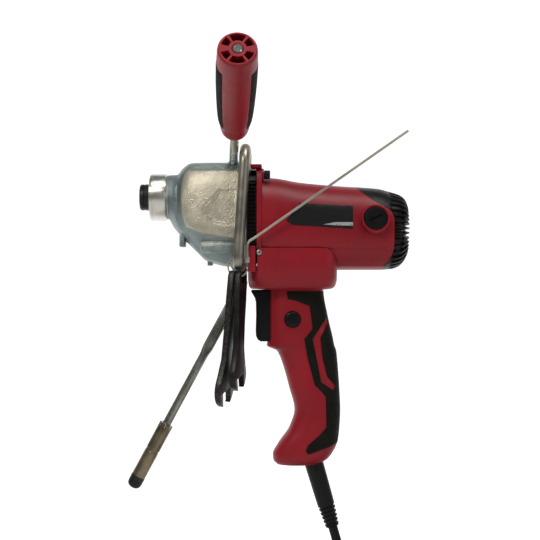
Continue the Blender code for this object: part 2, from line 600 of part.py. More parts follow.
def handle():
    y_dir = (0, 1, 0)
    screws = [(26.0, 83.0), (8.0, -60.0)]
    for label, side in (("left", -1), ("right", 1)):
        shell = add("handle_shell_" + label, loft(grip_rings()), RED)
        sides = sorted((side * 0.15, side * 60))
        half = block((-70, 60), sides, (-120, 130))
        combine(shell, [add("half", half, RED)], "INTERSECT")
        inner = grip_rings(2.8, 109, -79)
        inner[0] = [(p[0], p[1], 115) for p in inner[0]]
        tools = [add("cavity", loft(inner), RED)]
        tools.append(add("barrel", loft(barrel_rings(0.4)), RED))
        tools.append(add("ring", block((-52, -39.0), (-34.4, 34.4), (93.1, 200)), RED))
        combine(shell, tools)
        bosses = []
        for x, z in screws:
            depth = 29 if z > 0 else 16.5
            bosses.append(add("boss", rod(4.0, (x, side * 0.15, z), (0, side, 0), depth, 16), RED))
        combine(shell, bosses, "UNION")
        tools = []
        for x, z in screws:
            tools.append(add("hole", rod(1.9, (x, -12, z), y_dir, 72, 12), RED))
            face = 29.6 if z > 0 else 17.6
            tools.append(add("head", rod(3.5, (x, face - 2.2, z), y_dir, 30, 16), RED))
        ear_x, ear_z = EAR_SCREW
        tools.append(add("ear", rod(1.6, (ear_x, -60, ear_z), y_dir, 120, 12), RED))
        tools.append(add("ear_head", rod(3.0, (ear_x, side * 32.2, ear_z), (0, side, 0), 9, 14), RED))
        tools.append(add("trigger_slot", block((-60, -20), (-9.4, 9.4), (26.0, 74.2)), RED))
        tools.append(add("cord_hole", rod(9.0, CORD_EXIT - CORD_DIRECTION * 12, CORD_DIRECTION, 40, 20), RED))
        if side < 0:
            tools.append(add("button_hole", rod(7.5, (-7.1, -30, 47.1), y_dir, 24), RED))
        combine(shell, tools)
        cover = add("grip_cover_" + label, loft(grip_rings(-0.5)), RUBBER)
        combine(cover, [add("half", block((-70, 60), sides, (-120, 130)), RUBBER)], "INTERSECT")
        combine(cover, [add("outline", prism(cover_outline(), -50, 50), RUBBER)], "INTERSECT")
        combine(cover, [add("core", loft(grip_rings(1.0)), RUBBER)])
        under = add("under", loft(grip_rings(-1.5)), RED)
        combine(under, [add("outline", prism(cover_outline(0.35), -50, 50), RED)], "INTERSECT")
        combine(under, [add("core", loft(grip_rings(1.3)), RED)])
        combine(shell, [under])
    for label, (x, z) in zip(("upper", "lower"), screws):
        face = 29.6 if z > 0 else 17.6
        profile = [(0, 0), (0, 3.1), (1.8, 3.1), (1.8, 1.5), (face + 9, 1.5), (face + 9, 0)]
        add("grip_screw_" + label, turned(profile, (x, face - 0.1, z), (0, -1, 0), 14), STEEL)
    for label, side in (("left", -1), ("right", 1)):
        profile = [(0, 0), (0, 2.6), (1.3, 2.6), (1.3, 1.2), (8, 1.2), (8, 0)]
        place = (EAR_SCREW[0], side * 33.8, EAR_SCREW[1])
        add("ear_screw_" + label, turned(profile, place, (0, -side, 0), 14), STEEL)

    outline = [(-21.4, 27.0), (-21.4, 73.6), (-45.0, 73.6), (-44.3, 70.5), (-41.6, 68.0),
               (-40.4, 65.0), (-40.6, 33.0), (-39.2, 28.6), (-36.0, 26.6), (-30.0, 26.6)]
    trigger = prism(outline, -8.8, 8.8)
    made = add("trigger", trigger, BLACK)
    combine(made, [add("spring_bore", rod(4.6, (-31.0, 0, 50), (1, 0, 0), 20, 16), BLACK)])
    points = []
    for i in range(31):
        angle = 2 * math.pi * i / 6
        points.append((-22.6 + 0.39 * i, 3.4 * math.cos(angle), 50 + 3.4 * math.sin(angle)))
    tube("trigger_spring", points, 0.5, STEEL, 0)
    add("switch_body", block((-10.4, 12), (-7.6, 7.6), (28, 70)), BLACK)
    cap = [(0, 0), (0, 6.2), (1.2, 7.2), (8.4, 7.2), (8.4, 0)]
    add("lock_button", turned(cap, (-7.1, -19.6, 47.1), y_dir, 28), BLACK)
    add("cord_clamp", block((0, 22), (-9, 9), (-42, -36)), BLACK)


# ---------------------------------------------------------------- handles and hanging pieces
def side_handle():
    inner = 4.25 + GAP
    profile = [(57, inner), (57, 7.6), (59, 9.8), (63, 11.8), (68, 12.6), (76, 13.3), (84, 14.4),
               (109, 15.6), (146, 16.3), (167, 16.3), (179, 15.9), (185, 15.3), (185, inner)]
    grip = turned(profile, HANDLE_ROOT, HANDLE_AXIS, 20, hollow=True)
    made = add("side_handle_grip", grip, RED)
    across = Vector((1, 0, 0))
    across = (across - HANDLE_AXIS * across.dot(HANDLE_AXIS)).normalized()
    up = HANDLE_AXIS.cross(across) * -1

    def sector(low_deg, high_deg, inner_r, outer_r, start, end, steps):
        points = []
        for i in range(steps + 1):
            points.append((outer_r, low_deg + (high_deg - low_deg) * i / steps))
        for i in range(steps + 1):
            points.append((inner_r, high_deg + (low_deg - high_deg) * i / steps))
        rings = []
        for along in (start, end):
            centre = HANDLE_ROOT + HANDLE_AXIS * along
            ring_points = []
            for r, deg in points:
                a = math.radians(deg)
                ring_points.append(centre + across * r * math.cos(a) + up * r * math.sin(a))
            rings.append(ring_points)
        return loft(rings)

    pockets = []
    for low, high in ((15, 50), (60, 120), (130, 165), (195, 230), (240, 300), (310, 345)):
        pockets.append(add("pocket", sector(low, high, 7.2, 13.2, 172, 194, 4), RED))
    beds = []
    for middle in (0, 180):
        beds.append(add("bed", sector(middle - 46, middle + 46, 14.0 - 2.2, 24, 78, 166, 8), RED))
    combine(made, pockets)
    for label, bed, middle in (("left", beds[1], 180), ("right", beds[0], 0)):
        name = "side_handle_inlay_" + label
        profile = [(78.4, 11.0), (78.4, 14.2), (84, 14.8), (109, 16.1), (146, 16.9), (163, 16.8),
                   (165.6, 16.3), (165.6, 11.0)]
        inlay = add(name, turned(profile, HANDLE_ROOT, HANDLE_AXIS, 20, hollow=True), RUBBER)
        keep = sector(middle - 45, middle + 45, 12.2, 24, 70, 170, 8)
        combine(inlay, [add("keep", keep, RUBBER)], "INTERSECT")
    combine(made, beds)
    shank = [(-8.0, 0), (-8.0, 3.9), (-4, 4.1), (184.4, 4.1), (185.6, 3.6), (185.6, 0)]
    add("side_handle_rod", turned(shank, HANDLE_ROOT, HANDLE_AXIS, 24), CHROME)


def bail():
    px, pz = BAIL_PIVOT
    tx, tz = BAIL_TOP
    lean = math.atan2(tx - px, tz - pz)
    corner, foot = 15.0, 6.2

    def place(y, height):
        return (px + height * math.sin(lean), y, pz + height * math.cos(lean))

    tall = (tz - pz) / math.cos(lean)
    half = [(-20.0, 0.0)]
    for i in range(6):
        a = math.radians(90 * i / 5)
        half.append((-(BAIL_Y - foot) - foot * math.sin(a), foot * (1 - math.cos(a))))
    for i in range(7):
        a = math.radians(90 * i / 6)
        half.append((-(BAIL_Y - corner) - corner * math.cos(a), tall - corner + corner * math.sin(a)))
    points = [place(y, h) for y, h in half] + [place(-y, h) for y, h in reversed(half)]
    tube("bail", points, BAIL_R, STEEL, 2)


TIE_CENTRE = Vector((-55.9, -33.5, 94.6))
TIE_R = 8.9


def cable_tie():
    points = []
    for i in range(29):
        angle = math.radians(20 - 340 * i / 28)
        points.append(TIE_CENTRE + Vector((TIE_R * math.cos(angle), 0, TIE_R * math.sin(angle))))
    points.reverse()
    points += [Vector((-46.4, -34.6, 102.5)), Vector((-46.6, -36.2, 108.5)), Vector((-45.6, -38.2, 116.2))]
    end = Vector((92.5, -60.0, 212.6))
    points += [points[-1].lerp(end, share) for share in (0.12, 0.55, 1.0)]
    tube("cable_tie", points, 1.15, NYLON, 1)


def spanner(name, hole_x, lean_deg, length, jaw, head_r, turn_deg=20.0):
    """A flat open-ended spanner hanging from its hole; local u is the width, w the length."""
    half, thick = 9.0, 5.0
    points = [(-half + 4.5, 6.0), (-half, 1.8), (-half, -length + 2 * head_r + 4)]
    tilt = math.radians(15)
    centre = (0.0, -length + head_r)
    for i in range(15):
        a = math.radians(160 + 220 * i / 14)
        if abs(math.degrees(a) - 270) > 34:
            points.append((centre[0] + head_r * math.cos(a), centre[1] + head_r * math.sin(a)))
        elif abs(math.degrees(a) - 270) < 9:
            for side in (-1, 1):
                for depth in ((-head_r - 1, -1.5) if side < 0 else (-1.5, -head_r - 1)):
                    u, w = side * jaw / 2, depth
                    u, w = u * math.cos(tilt) - w * math.sin(tilt), u * math.sin(tilt) + w * math.cos(tilt)
                    points.append((centre[0] + u, centre[1] + w))
    points += [(half, -length + 2 * head_r + 4), (half, 1.8), (half - 4.5, 6.0)]
    normal = Vector((math.cos(math.radians(turn_deg)), -math.sin(math.radians(turn_deg)), 0))
    across = Vector((math.sin(math.radians(turn_deg)), math.cos(math.radians(turn_deg)), 0))
    down = Vector((0, 0, 1))
    lean = Matrix.Rotation(math.radians(lean_deg), 3, across)
    normal, down = lean @ normal, lean @ down
    z = TIE_CENTRE.z - math.sqrt(TIE_R ** 2 - (hole_x - TIE_CENTRE.x) ** 2) - 1.3
    hole = Vector((hole_x, TIE_CENTRE.y, z))
    rings = []
    for depth in (-thick / 2, thick / 2):
        rings.append([hole + across * u + down * w + normal * depth for u, w in points])
    made = add(name, loft(rings), BLACK_STEEL)
    combine(made, [add("hole", rod(5.0, hole - normal * 10, normal, 20, 16), BLACK_STEEL)])
    return hole


def prop():
    px, pz = PROP_PIVOT
    down = Vector((-math.sin(PROP_LEAN), 0, -math.cos(PROP_LEAN)))
    side = Vector((0, 1, 0)).cross(down)
    pivot = Vector((px, PROP_Y, pz))

    def flat(along, half_width, half_y, count=16, power=2.0):
        return [pivot + down * along + side * a + Vector((0, b, 0))
                for a, b in oval(count, half_width, half_y, power)]

    rings = [flat(-4.2, 2.2, 2.3, 16, 3), flat(-2.6, 3.8, 2.6, 16, 4), flat(0, 4.5, 2.6, 16, 4),
             flat(8, 4.9, 2.6, 16, 4), flat(66, 4.9, 2.8, 16, 4), flat(76, 3.95, 3.95),
             flat(PROP_LENGTH - 3, 3.95, 3.95)]
    made = add("prop_rod", loft(rings), STEEL)
    combine(made, [add("eye", rod(2.6, (px, -10, pz), (0, 1, 0), 40, 14), STEEL)])
    length = PROP_LENGTH
    profile = [(length, 0), (length - 1.2, 4.6), (length - 5, 6.45), (length - 66.4, 6.45),
               (length - 67, 6.0), (length - 67, 4.25), (length - 2.6, 4.25), (length - 2.6, 0)]
    add("prop_sleeve", turned(profile, pivot, down, 20), STEEL)
    bolt = [(-2.6, 0), (-2.6, 4.3), (1.5, 4.3), (1.5, 2.3), (14.5, 2.3), (14.5, 4.0), (17.0, 4.0), (17.0, 0)]
    add("prop_bolt", turned(bolt, (px, 0, pz), (0, 1, 0), 16), STEEL)


# ---------------------------------------------------------------- cord
def cord_line(step_deg):
    """Down from the grip, flat onto the floor, then an open flat spiral outwards to the plug."""
    low = FLOOR_Z + CORD_R
    lean = math.atan2(CORD_DIRECTION.x, -CORD_DIRECTION.z)
    free = CORD_EXIT + CORD_DIRECTION * 60
    straight = (free.z - low - LANDING_R * (1 - math.sin(lean))) / math.cos(lean)
    bend = free + CORD_DIRECTION * straight
    middle = bend + Vector((math.cos(lean), 0, math.sin(lean))) * LANDING_R
    drop = [CORD_EXIT - CORD_DIRECTION * 9, CORD_EXIT, free]
    steps = 12
    for i in range(steps + 1):
        a = lean + (math.pi / 2 - lean) * i / steps
        drop.append(middle - Vector((math.cos(a), 0, math.sin(a))) * LANDING_R)
    centre = Vector((middle.x, COIL_INNER, low))
    coil = []
    for i in range(1, int(COIL_TURNS * 360 / step_deg) + 1):
        turn = i * step_deg / 360
        a = math.radians(-90 + 360 * turn)
        opened = min(turn / 0.9, 1.0)
        radius = COIL_INNER + COIL_PITCH * turn + COIL_OPENING * opened ** 2 * (3 - 2 * opened)
        coil.append(centre + Vector((math.cos(a), math.sin(a), 0)) * radius)
    coil.append(coil[-1] + Vector((12, 0, 0)))
    return drop, coil


def cord():
    guard = [(-10, 5.2), (-10, 8.2), (0, 8.5), (2, 8.6), (42, 7.8), (58, 6.6), (60, 6.0), (60, 5.2)]
    add("cord_guard", turned(guard, CORD_EXIT, CORD_DIRECTION, 14, hollow=True), RUBBER)
    drop, coil = cord_line(15)
    rest = [drop[-3].lerp(drop[-2], 0.1), drop[-2], drop[-1]]
    tube("power_cord", drop[:-2], CORD_R, RUBBER, 2)
    tube("cord_coil", rest + coil, CORD_R, RUBBER, 1)
    plug = [(0, 5.0), (2, 6.0), (10, 7.6), (24, 9.0), (36, 9.4), (37, 8.6)]
    facing = Vector((1.0, 0.0, 0.0))
    place = Vector((coil[-1].x + GAP, coil[-1].y, FLOOR_Z + 9.6))
    body = add("plug", turned(plug, place, facing), BLACK)
    side = facing.cross(Vector((0, 0, 1)))
    for sign in (-1, 1):
        pin = rod(2.0, place + facing * 34 + side * sign * 4.6, facing, 16, 12)
        combine(body, [add("pin", pin, STEEL)], "UNION")


def set_pivots(spanner_holes):
    """Puts the origin of each moving piece on the axis that it turns or slides about."""
    lay_y, lay_z = layshaft_place()
    motor, lay, out = (0, 0, MOTOR_Z), (0, lay_y, lay_z), (0, 0, SPINDLE_Z)
    bail_axis, prop_axis = (BAIL_PIVOT[0], 0, BAIL_PIVOT[1]), (PROP_PIVOT[0], PROP_Y, PROP_PIVOT[1])
    pivots = {"armature_shaft": motor, "armature_core": motor, "commutator": motor, "cooling_fan": motor,
              "layshaft": lay, "layshaft_gear": lay, "output_spindle": out, "output_gear": out,
              "trigger": (-30.0, 0, 50.0), "lock_button": (-7.1, -19.6, 47.1), "bail": bail_axis,
              "cable_tie": bail_axis, "prop_rod": prop_axis, "prop_sleeve": prop_axis, **spanner_holes}
    for name, place in pivots.items():
        moved = bpy.data.objects[name]
        spot = Vector(place) * MM
        moved.data.transform(Matrix.Translation(-spot))
        moved.location = spot


clear_scene()
gear_train()
gear_housing()
motor_housing()
motor_parts()
handle()
side_handle()
bail()
cable_tie()
holes = {"spanner_large": spanner("spanner_large", -59.3, 5.5, 116.0, 17.0, 16.5),
         "spanner_small": spanner("spanner_small", -53.4, 2.0, 101.0, 14.0, 14.5)}
prop()
cord()
set_pivots(holes)
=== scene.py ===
"""Hand-held drain-cleaning drive: fine meshes, procedural materials, floor, light and camera."""
import math

import bmesh
import bpy
from mathutils import Matrix, Vector


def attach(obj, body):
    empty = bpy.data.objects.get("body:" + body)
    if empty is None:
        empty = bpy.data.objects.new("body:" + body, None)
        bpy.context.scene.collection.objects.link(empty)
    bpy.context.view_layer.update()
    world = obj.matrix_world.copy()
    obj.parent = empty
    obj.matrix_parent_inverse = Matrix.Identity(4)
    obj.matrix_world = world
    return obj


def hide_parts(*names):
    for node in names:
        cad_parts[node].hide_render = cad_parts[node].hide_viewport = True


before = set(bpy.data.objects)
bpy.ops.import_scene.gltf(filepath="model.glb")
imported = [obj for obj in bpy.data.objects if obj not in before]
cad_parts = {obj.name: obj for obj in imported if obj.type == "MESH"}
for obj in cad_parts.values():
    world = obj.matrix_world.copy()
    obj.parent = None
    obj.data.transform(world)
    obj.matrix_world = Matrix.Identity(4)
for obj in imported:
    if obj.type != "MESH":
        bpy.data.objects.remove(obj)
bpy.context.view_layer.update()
MM = 0.001

MOTOR_Z, SPINDLE_Z = 129.3, 158.2
SPINDLE_FRONT = -146.3
CAP_MIDDLE_Z = 128.0
FIN_COUNT = 36
VENT_PITCH = 3.4
PANEL_STEP, FACET_STEP, CREASE_STEP = 1.5, 1.1, 1.5
PANEL_CENTRE, PANEL_R = (-37.0, 156.5), 69.6
BRUSH_X, BRUSH_TILT = 66.0, math.radians(11.7)
FLANGE_REAR = -34.8
HANDLE_ROOT = Vector((-60.6, -15.0, 188.5))
HANDLE_AXIS = Vector((8.2, -166.6, 70.7)).normalized()
BAIL_PIVOT, BAIL_TOP, BAIL_R, BAIL_Y = (-56.0, 97.0), (-49.4, 200.0), 4.8, 41.0
PROP_PIVOT, PROP_Y, PROP_LENGTH = (-52.8, 79.5), 8.0, 214.0
PROP_LEAN = math.radians(28.4)
CORD_R = 4.25
CORD_EXIT = Vector((12.8, 0.0, -85.3))
CORD_DIRECTION = Vector((0.283, 0.0, -0.959)).normalized()
FLOOR_Z = -205.0
LANDING_R, COIL_INNER, COIL_PITCH, COIL_TURNS, COIL_OPENING = 40.0, 36.0, 8.8, 5.0, 6.0
TIE_CENTRE, TIE_R = Vector((-55.9, -33.5, 94.6)), 8.9
# The stage, in metres
CAMERA_PLACE, CAMERA_LENS, CAMERA_SENSOR = (-0.0275, -1.1, 0.0917), 80.0, 36.0
FLOOR_NEAR, FLOOR_FAR, FLOOR_HALF, BACKDROP_R, BACKDROP_TOP = -2.5, 1.6, 4, 0.8, 3.0
GLOW_DEPTH, GLOW = 0.24, 0.64


def into_scene(made):
    bpy.context.scene.collection.objects.link(made)


# ---------------------------------------------------------------- materials
def surface(name, colour, dark=None, metallic=0.0, rough=(0.4, 0.5), mottle=60.0, grain=(900.0, 0.0002),
            wave=None, coat=0.0, bright_edges=None, lumps=None, shine=0.5, subsurface=0.0, panel=None):
    """A Principled material with broken-up colour and roughness and fine relief."""
    made = bpy.data.materials.new(name)
    made.use_nodes = True
    tree = made.node_tree
    nodes, link = tree.nodes, tree.links.new
    shader = nodes["Principled BSDF"]
    shader.inputs["Metallic"].default_value = metallic
    shader.inputs["Coat Weight"].default_value = coat
    shader.inputs["Coat Roughness"].default_value = 0.2
    shader.inputs["Specular IOR Level"].default_value = shine
    if subsurface:
        shader.inputs["Subsurface Weight"].default_value = subsurface
        shader.inputs["Subsurface Scale"].default_value = 0.002
    place = nodes.new("ShaderNodeTexCoord")

    def noise(scale, detail=4.0, distortion=0.0):
        made_noise = nodes.new("ShaderNodeTexNoise")
        made_noise.inputs["Scale"].default_value = scale
        made_noise.inputs["Detail"].default_value = detail
        made_noise.inputs["Distortion"].default_value = distortion
        link(place.outputs["Object"], made_noise.inputs["Vector"])
        return made_noise.outputs["Fac"]

    def ramp(fac, low, high, a, b):
        made_ramp = nodes.new("ShaderNodeMapRange")
        made_ramp.inputs["From Min"].default_value = low
        made_ramp.inputs["From Max"].default_value = high
        made_ramp.inputs["To Min"].default_value = a
        made_ramp.inputs["To Max"].default_value = b
        link(fac, made_ramp.inputs["Value"])
        return made_ramp.outputs["Result"]

    def mix(fac, a, b):
        made_mix = nodes.new("ShaderNodeMix")
        made_mix.data_type = "RGBA"
        link(fac, made_mix.inputs["Factor"])
        for socket, value in ((made_mix.inputs[6], a), (made_mix.inputs[7], b)):
            if isinstance(value, tuple):
                socket.default_value = (*value, 1.0)
            else:
                link(value, socket)
        return made_mix.outputs[2]

    dark = dark or tuple(c * 0.8 for c in colour)
    tone = mix(ramp(noise(mottle, 5.0), 0.35, 0.65, 0.0, 1.0), dark, colour)
    # The raised side panel of the gear housing (vertex attribute "panel") is painted cream here: a painted
    # highlight standing for the lit panel face, lighter than the rest of the cast.
    if panel:
        painted_highlight_mask = nodes.new("ShaderNodeAttribute")
        painted_highlight_mask.attribute_name = "panel"
        painted_highlight_low = tuple(c * 0.78 for c in panel)
        painted_highlight_colour = mix(ramp(noise(mottle * 3, 6.0), 0.35, 0.65, 0.0, 1.0), painted_highlight_low, panel)
        tone = mix(painted_highlight_mask.outputs["Fac"], tone, painted_highlight_colour)
    # Sharp convex edges, found by pointiness and broken up by noise, are given a lighter colour.
    if bright_edges:
        bright, amount = bright_edges
        shape = nodes.new("ShaderNodeNewGeometry")
        edge = ramp(shape.outputs["Pointiness"], 0.52, 0.6, 0.0, amount)
        broken = nodes.new("ShaderNodeMath")
        broken.operation = "MULTIPLY"
        link(edge, broken.inputs[0])
        link(ramp(noise(mottle * 5), 0.4, 0.6, 0.0, 1.0), broken.inputs[1])
        tone = mix(broken.outputs[0], tone, bright)
    link(tone, shader.inputs["Base Color"])
    link(ramp(noise(mottle * 2.3), 0.3, 0.7, rough[0], rough[1]), shader.inputs["Roughness"])
    normal = None

    def relief(height, distance, strength=1.0):
        bump = nodes.new("ShaderNodeBump")
        bump.inputs["Distance"].default_value = distance
        bump.inputs["Strength"].default_value = strength
        link(height, bump.inputs["Height"])
        if normal is not None:
            link(normal, bump.inputs["Normal"])
        return bump.outputs["Normal"]

    scale, depth = grain
    normal = relief(noise(scale, 3.0), depth)
    if lumps:
        cells = nodes.new("ShaderNodeTexVoronoi")
        cells.feature = "SMOOTH_F1"
        cells.inputs["Scale"].default_value = lumps[0]
        link(place.outputs["Object"], cells.inputs["Vector"])
        normal = relief(cells.outputs["Distance"], lumps[1])
    if wave:
        direction, wave_scale, wave_depth = wave
        bands = nodes.new("ShaderNodeTexWave")
        bands.wave_type = "BANDS"
        bands.bands_direction = direction
        bands.inputs["Scale"].default_value = wave_scale
        bands.inputs["Distortion"].default_value = 1.2
        bands.inputs["Detail"].default_value = 2.0
        link(place.outputs["Object"], bands.inputs["Vector"])
        normal = relief(bands.outputs["Fac"], wave_depth)
    link(normal, shader.inputs["Normal"])
    return made


LOOK = {
    # cast: the panel colour is the cream of a painted highlight on the gear housing's raised side panel
    "cast": surface("cast", (0.34, 0.39, 0.38), (0.18, 0.24, 0.25), 0.95, (0.36, 0.5), 34, (1500, 0.0002),
                    lumps=(1000, 0.0004), bright_edges=((0.78, 0.76, 0.68), 0.5), panel=(0.60, 0.57, 0.47)),
    "turned": surface("turned", (0.72, 0.71, 0.65), (0.62, 0.62, 0.57), 1.0, (0.22, 0.28), 90, (2500, 0.00002),
                      wave=("X", 900, 0.00003)),
    "steel": surface("steel", (0.62, 0.61, 0.57), (0.45, 0.44, 0.41), 1.0, (0.28, 0.42), 80, (1800, 0.00004)),
    "black_steel": surface("black_steel", (0.016, 0.016, 0.017), (0.006, 0.006, 0.006), 0.5, (0.3, 0.46), 120,
                           (1400, 0.00008), bright_edges=((0.2, 0.2, 0.19), 0.2), shine=0.35),
    "chrome": surface("chrome", (0.72, 0.72, 0.72), (0.58, 0.58, 0.58), 1.0, (0.08, 0.16), 60, (900, 0.00001)),
    "bail": surface("bail", (0.42, 0.39, 0.31), (0.24, 0.24, 0.21), 1.0, (0.3, 0.44), 45, (1300, 0.00008),
                    bright_edges=((0.8, 0.76, 0.62), 0.4)),
    "rod": surface("rod", (0.36, 0.36, 0.33), (0.20, 0.20, 0.18), 1.0, (0.22, 0.34), 50, (1500, 0.00006)),
    "sleeve": surface("sleeve", (0.34, 0.29, 0.20), (0.12, 0.10, 0.07), 1.0, (0.28, 0.42), 30, (1300, 0.00008)),
    "red": surface("red", (0.29, 0.006, 0.016), (0.24, 0.005, 0.013), 0.0, (0.36, 0.46), 30, (1700, 0.00006),
                   shine=0.32),
    "black": surface("black", (0.006, 0.006, 0.006), (0.004, 0.004, 0.004), 0.0, (0.3, 0.4), 60,
                     (1700, 0.00008), shine=0.2),
    "rubber": surface("rubber", (0.008, 0.008, 0.006), (0.005, 0.005, 0.004), 0.0, (0.55, 0.7), 90,
                      (1100, 0.00012), lumps=(900, 0.0001), shine=0.12),
    "cord": surface("cord", (0.006, 0.006, 0.006), None, 0.0, (0.36, 0.48), 90, (900, 0.00006), shine=0.22),
    "copper": surface("copper", (0.62, 0.28, 0.13), (0.45, 0.18, 0.08), 1.0, (0.3, 0.45), 90, (1400, 0.00005),
                      wave=("X", 260, 0.0002)),
    "graphite": surface("graphite", (0.04, 0.04, 0.042), None, 0.2, (0.5, 0.7), 200, (2500, 0.00005)),
    "nylon": surface("nylon", (0.42, 0.40, 0.35), (0.30, 0.28, 0.24), 0.0, (0.35, 0.5), 60, (900, 0.00003),
                     subsurface=0.2),
    "plate": surface("plate", (0.008, 0.008, 0.009), None, 0.0, (0.2, 0.28), 60, (900, 0.00001), coat=0.3),
    "silver": surface("silver", (0.75, 0.75, 0.74), (0.6, 0.6, 0.6), 0.6, (0.25, 0.35), 300, (900, 0.00001)),
}


# ---------------------------------------------------------------- helpers
def add(name, bm, look, sharp=32):
    """A bmesh in millimetres as a named object in metres."""
    bmesh.ops.remove_doubles(bm, verts=bm.verts, dist=0.0005)
    bmesh.ops.recalc_face_normals(bm, faces=bm.faces)
    bmesh.ops.scale(bm, vec=(MM, MM, MM), verts=bm.verts)
    mesh = bpy.data.meshes.new(name)
    bm.to_mesh(mesh)
    bm.free()
    mesh.materials.append(LOOK[look])
    mesh.shade_smooth()
    mesh.set_sharp_from_angle(angle=math.radians(sharp))
    made = bpy.data.objects.new(name, mesh)
    into_scene(made)
    made["look"] = look
    return made


def settle(made, sharp=32):
    """Applies the modifiers of a piece."""
    bpy.context.view_layer.update()
    seen = made.evaluated_get(bpy.context.evaluated_depsgraph_get())
    mesh = bpy.data.meshes.new_from_object(seen)
    made.modifiers.clear()
    made.data = mesh
    mesh.shade_smooth()
    mesh.set_sharp_from_angle(angle=math.radians(sharp))
    return made


def combine(target, tools, operation="DIFFERENCE", sharp=32):
    for tool in tools:
        step = target.modifiers.new(tool.name, "BOOLEAN")
        step.operation = operation
        step.object = tool
    settle(target, sharp)
    for tool in tools:
        bpy.data.objects.remove(tool, do_unlink=True)
    return target


def round_edges(made, width, segments=3, angle=30):
    step = made.modifiers.new("round", "BEVEL")
    step.width = width * MM
    step.segments = segments
    step.limit_method = "ANGLE"
    step.angle_limit = math.radians(angle)
    return settle(made, 40)


def join(name, parts, look=None):
    """Several meshes as one piece."""
    bm = bmesh.new()
    looks = []
    for part in parts:
        start = len(bm.faces)
        bm.from_mesh(part.data)
        bm.faces.ensure_lookup_table()
        key = part["look"]
        if key not in looks:
            looks.append(key)
        for face in bm.faces[start:]:
            face.material_index = looks.index(key)
    mesh = bpy.data.meshes.new(name)
    bm.to_mesh(mesh)
    bm.free()
    for key in looks:
        mesh.materials.append(LOOK[key])
    mesh.set_sharp_from_angle(angle=math.radians(32))
    made = bpy.data.objects.new(name, mesh)
    into_scene(made)
    made["look"] = look or looks[0]
    for part in parts:
        bpy.data.objects.remove(part, do_unlink=True)
    return made


def finish(made, body, *nodes):
    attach(made, body)
    if nodes:
        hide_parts(*nodes)
    return made


def loft(rings, caps=True):
    bm = bmesh.new()
    rows = [[bm.verts.new(p) for p in ring] for ring in rings]
    for low, high in zip(rows, rows[1:]):
        for i in range(len(low)):
            j = (i + 1) % len(low)
            bm.faces.new((low[i], low[j], high[j], high[i]))
    if caps:
        bm.faces.new(rows[0])
        bm.faces.new(rows[-1])
    return bm


def even_oval(count, half_a, half_b, power):
    """Points evenly spaced along a superellipse, from its +a end."""
    fine = []
    for i in range(count * 3):
        c, s = math.cos(2 * math.pi * i / (count * 3)), math.sin(2 * math.pi * i / (count * 3))
        fine.append((half_a * math.copysign(abs(c) ** (2 / power), c),
                     half_b * math.copysign(abs(s) ** (2 / power), s)))
    fine.append(fine[0])
    along = [0.0]
    for p, q in zip(fine, fine[1:]):
        along.append(along[-1] + math.hypot(q[0] - p[0], q[1] - p[1]))
    points, k = [], 0
    for i in range(count):
        want = along[-1] * i / count
        while along[k + 1] < want:
            k += 1
        t = (want - along[k]) / max(along[k + 1] - along[k], 1e-9)
        points.append((fine[k][0] + (fine[k + 1][0] - fine[k][0]) * t,
                       fine[k][1] + (fine[k + 1][1] - fine[k][1]) * t))
    return points


def smooth_stations(stations, step):
    """Stations filled in along their first value, without overshoot."""
    stations = sorted(stations)
    xs = [s[0] for s in stations]
    columns = list(zip(*stations))[1:]
    slopes = []
    for column in columns:
        d = [(b - a) / (x1 - x0) for a, b, x0, x1 in zip(column, column[1:], xs, xs[1:])]
        m = [d[0]]
        for a, b in zip(d, d[1:]):
            m.append(0.0 if a * b <= 0 else 2 * a * b / (a + b))
        m.append(d[-1])
        slopes.append(m)
    filled = []
    for k in range(len(xs) - 1):
        x0, x1 = xs[k], xs[k + 1]
        count = max(1, math.ceil((x1 - x0) / step))
        for i in range(count):
            t = i / count
            row = [x0 + (x1 - x0) * t]
            for column, m in zip(columns, slopes):
                h = x1 - x0
                a, b = column[k], column[k + 1]
                row.append((2 * t ** 3 - 3 * t * t + 1) * a + (t ** 3 - 2 * t * t + t) * h * m[k]
                           + (3 * t * t - 2 * t ** 3) * b + (t ** 3 - t * t) * h * m[k + 1])
            filled.append(tuple(row))
    filled.append(stations[-1])
    return filled


def x_rings(stations, step, count, grow=0.0):
    rings = []
    for x, bottom, top, half, power in smooth_stations(stations, step):
        middle, tall = (bottom + top) / 2, (top - bottom) / 2
        rings.append([(x, a, middle + b) for a, b in even_oval(count, half + grow, tall + grow, power)])
    return rings


def z_rings(stations, step, count, grow=0.0):
    rings = []
    for z, front, rear, half, power in smooth_stations(stations, step):
        middle, deep = (front + rear) / 2, (rear - front) / 2
        rings.append([(middle + a, b, z) for a, b in even_oval(count, deep + grow, half + grow, power)])
    return rings


def turned(profile, start, direction, count=64, hollow=False):
    turn = Vector(direction).normalized().to_track_quat("Z", "Y").to_matrix().to_4x4()
    place = Matrix.Translation(start) @ turn
    bm = bmesh.new()
    rows = []
    for along, radius in profile:
        angles = [2 * math.pi * i / count for i in range(count)] if radius > 0.001 else [0.0]
        rows.append([bm.verts.new(place @ Vector((radius * math.cos(a), radius * math.sin(a), along)))
                     for a in angles])
    pairs = list(zip(rows, rows[1:]))
    if hollow:
        pairs.append((rows[-1], rows[0]))
    for one, two in pairs:
        for i in range(count):
            j = (i + 1) % count
            corners = [one[i % len(one)], one[j % len(one)], two[j % len(two)], two[i % len(two)]]
            unique = list(dict.fromkeys(corners))
            if len(unique) > 2:
                bm.faces.new(unique)
    if not hollow:
        for row in (rows[0], rows[-1]):
            if len(row) > 1:
                bm.faces.new(row)
    return bm


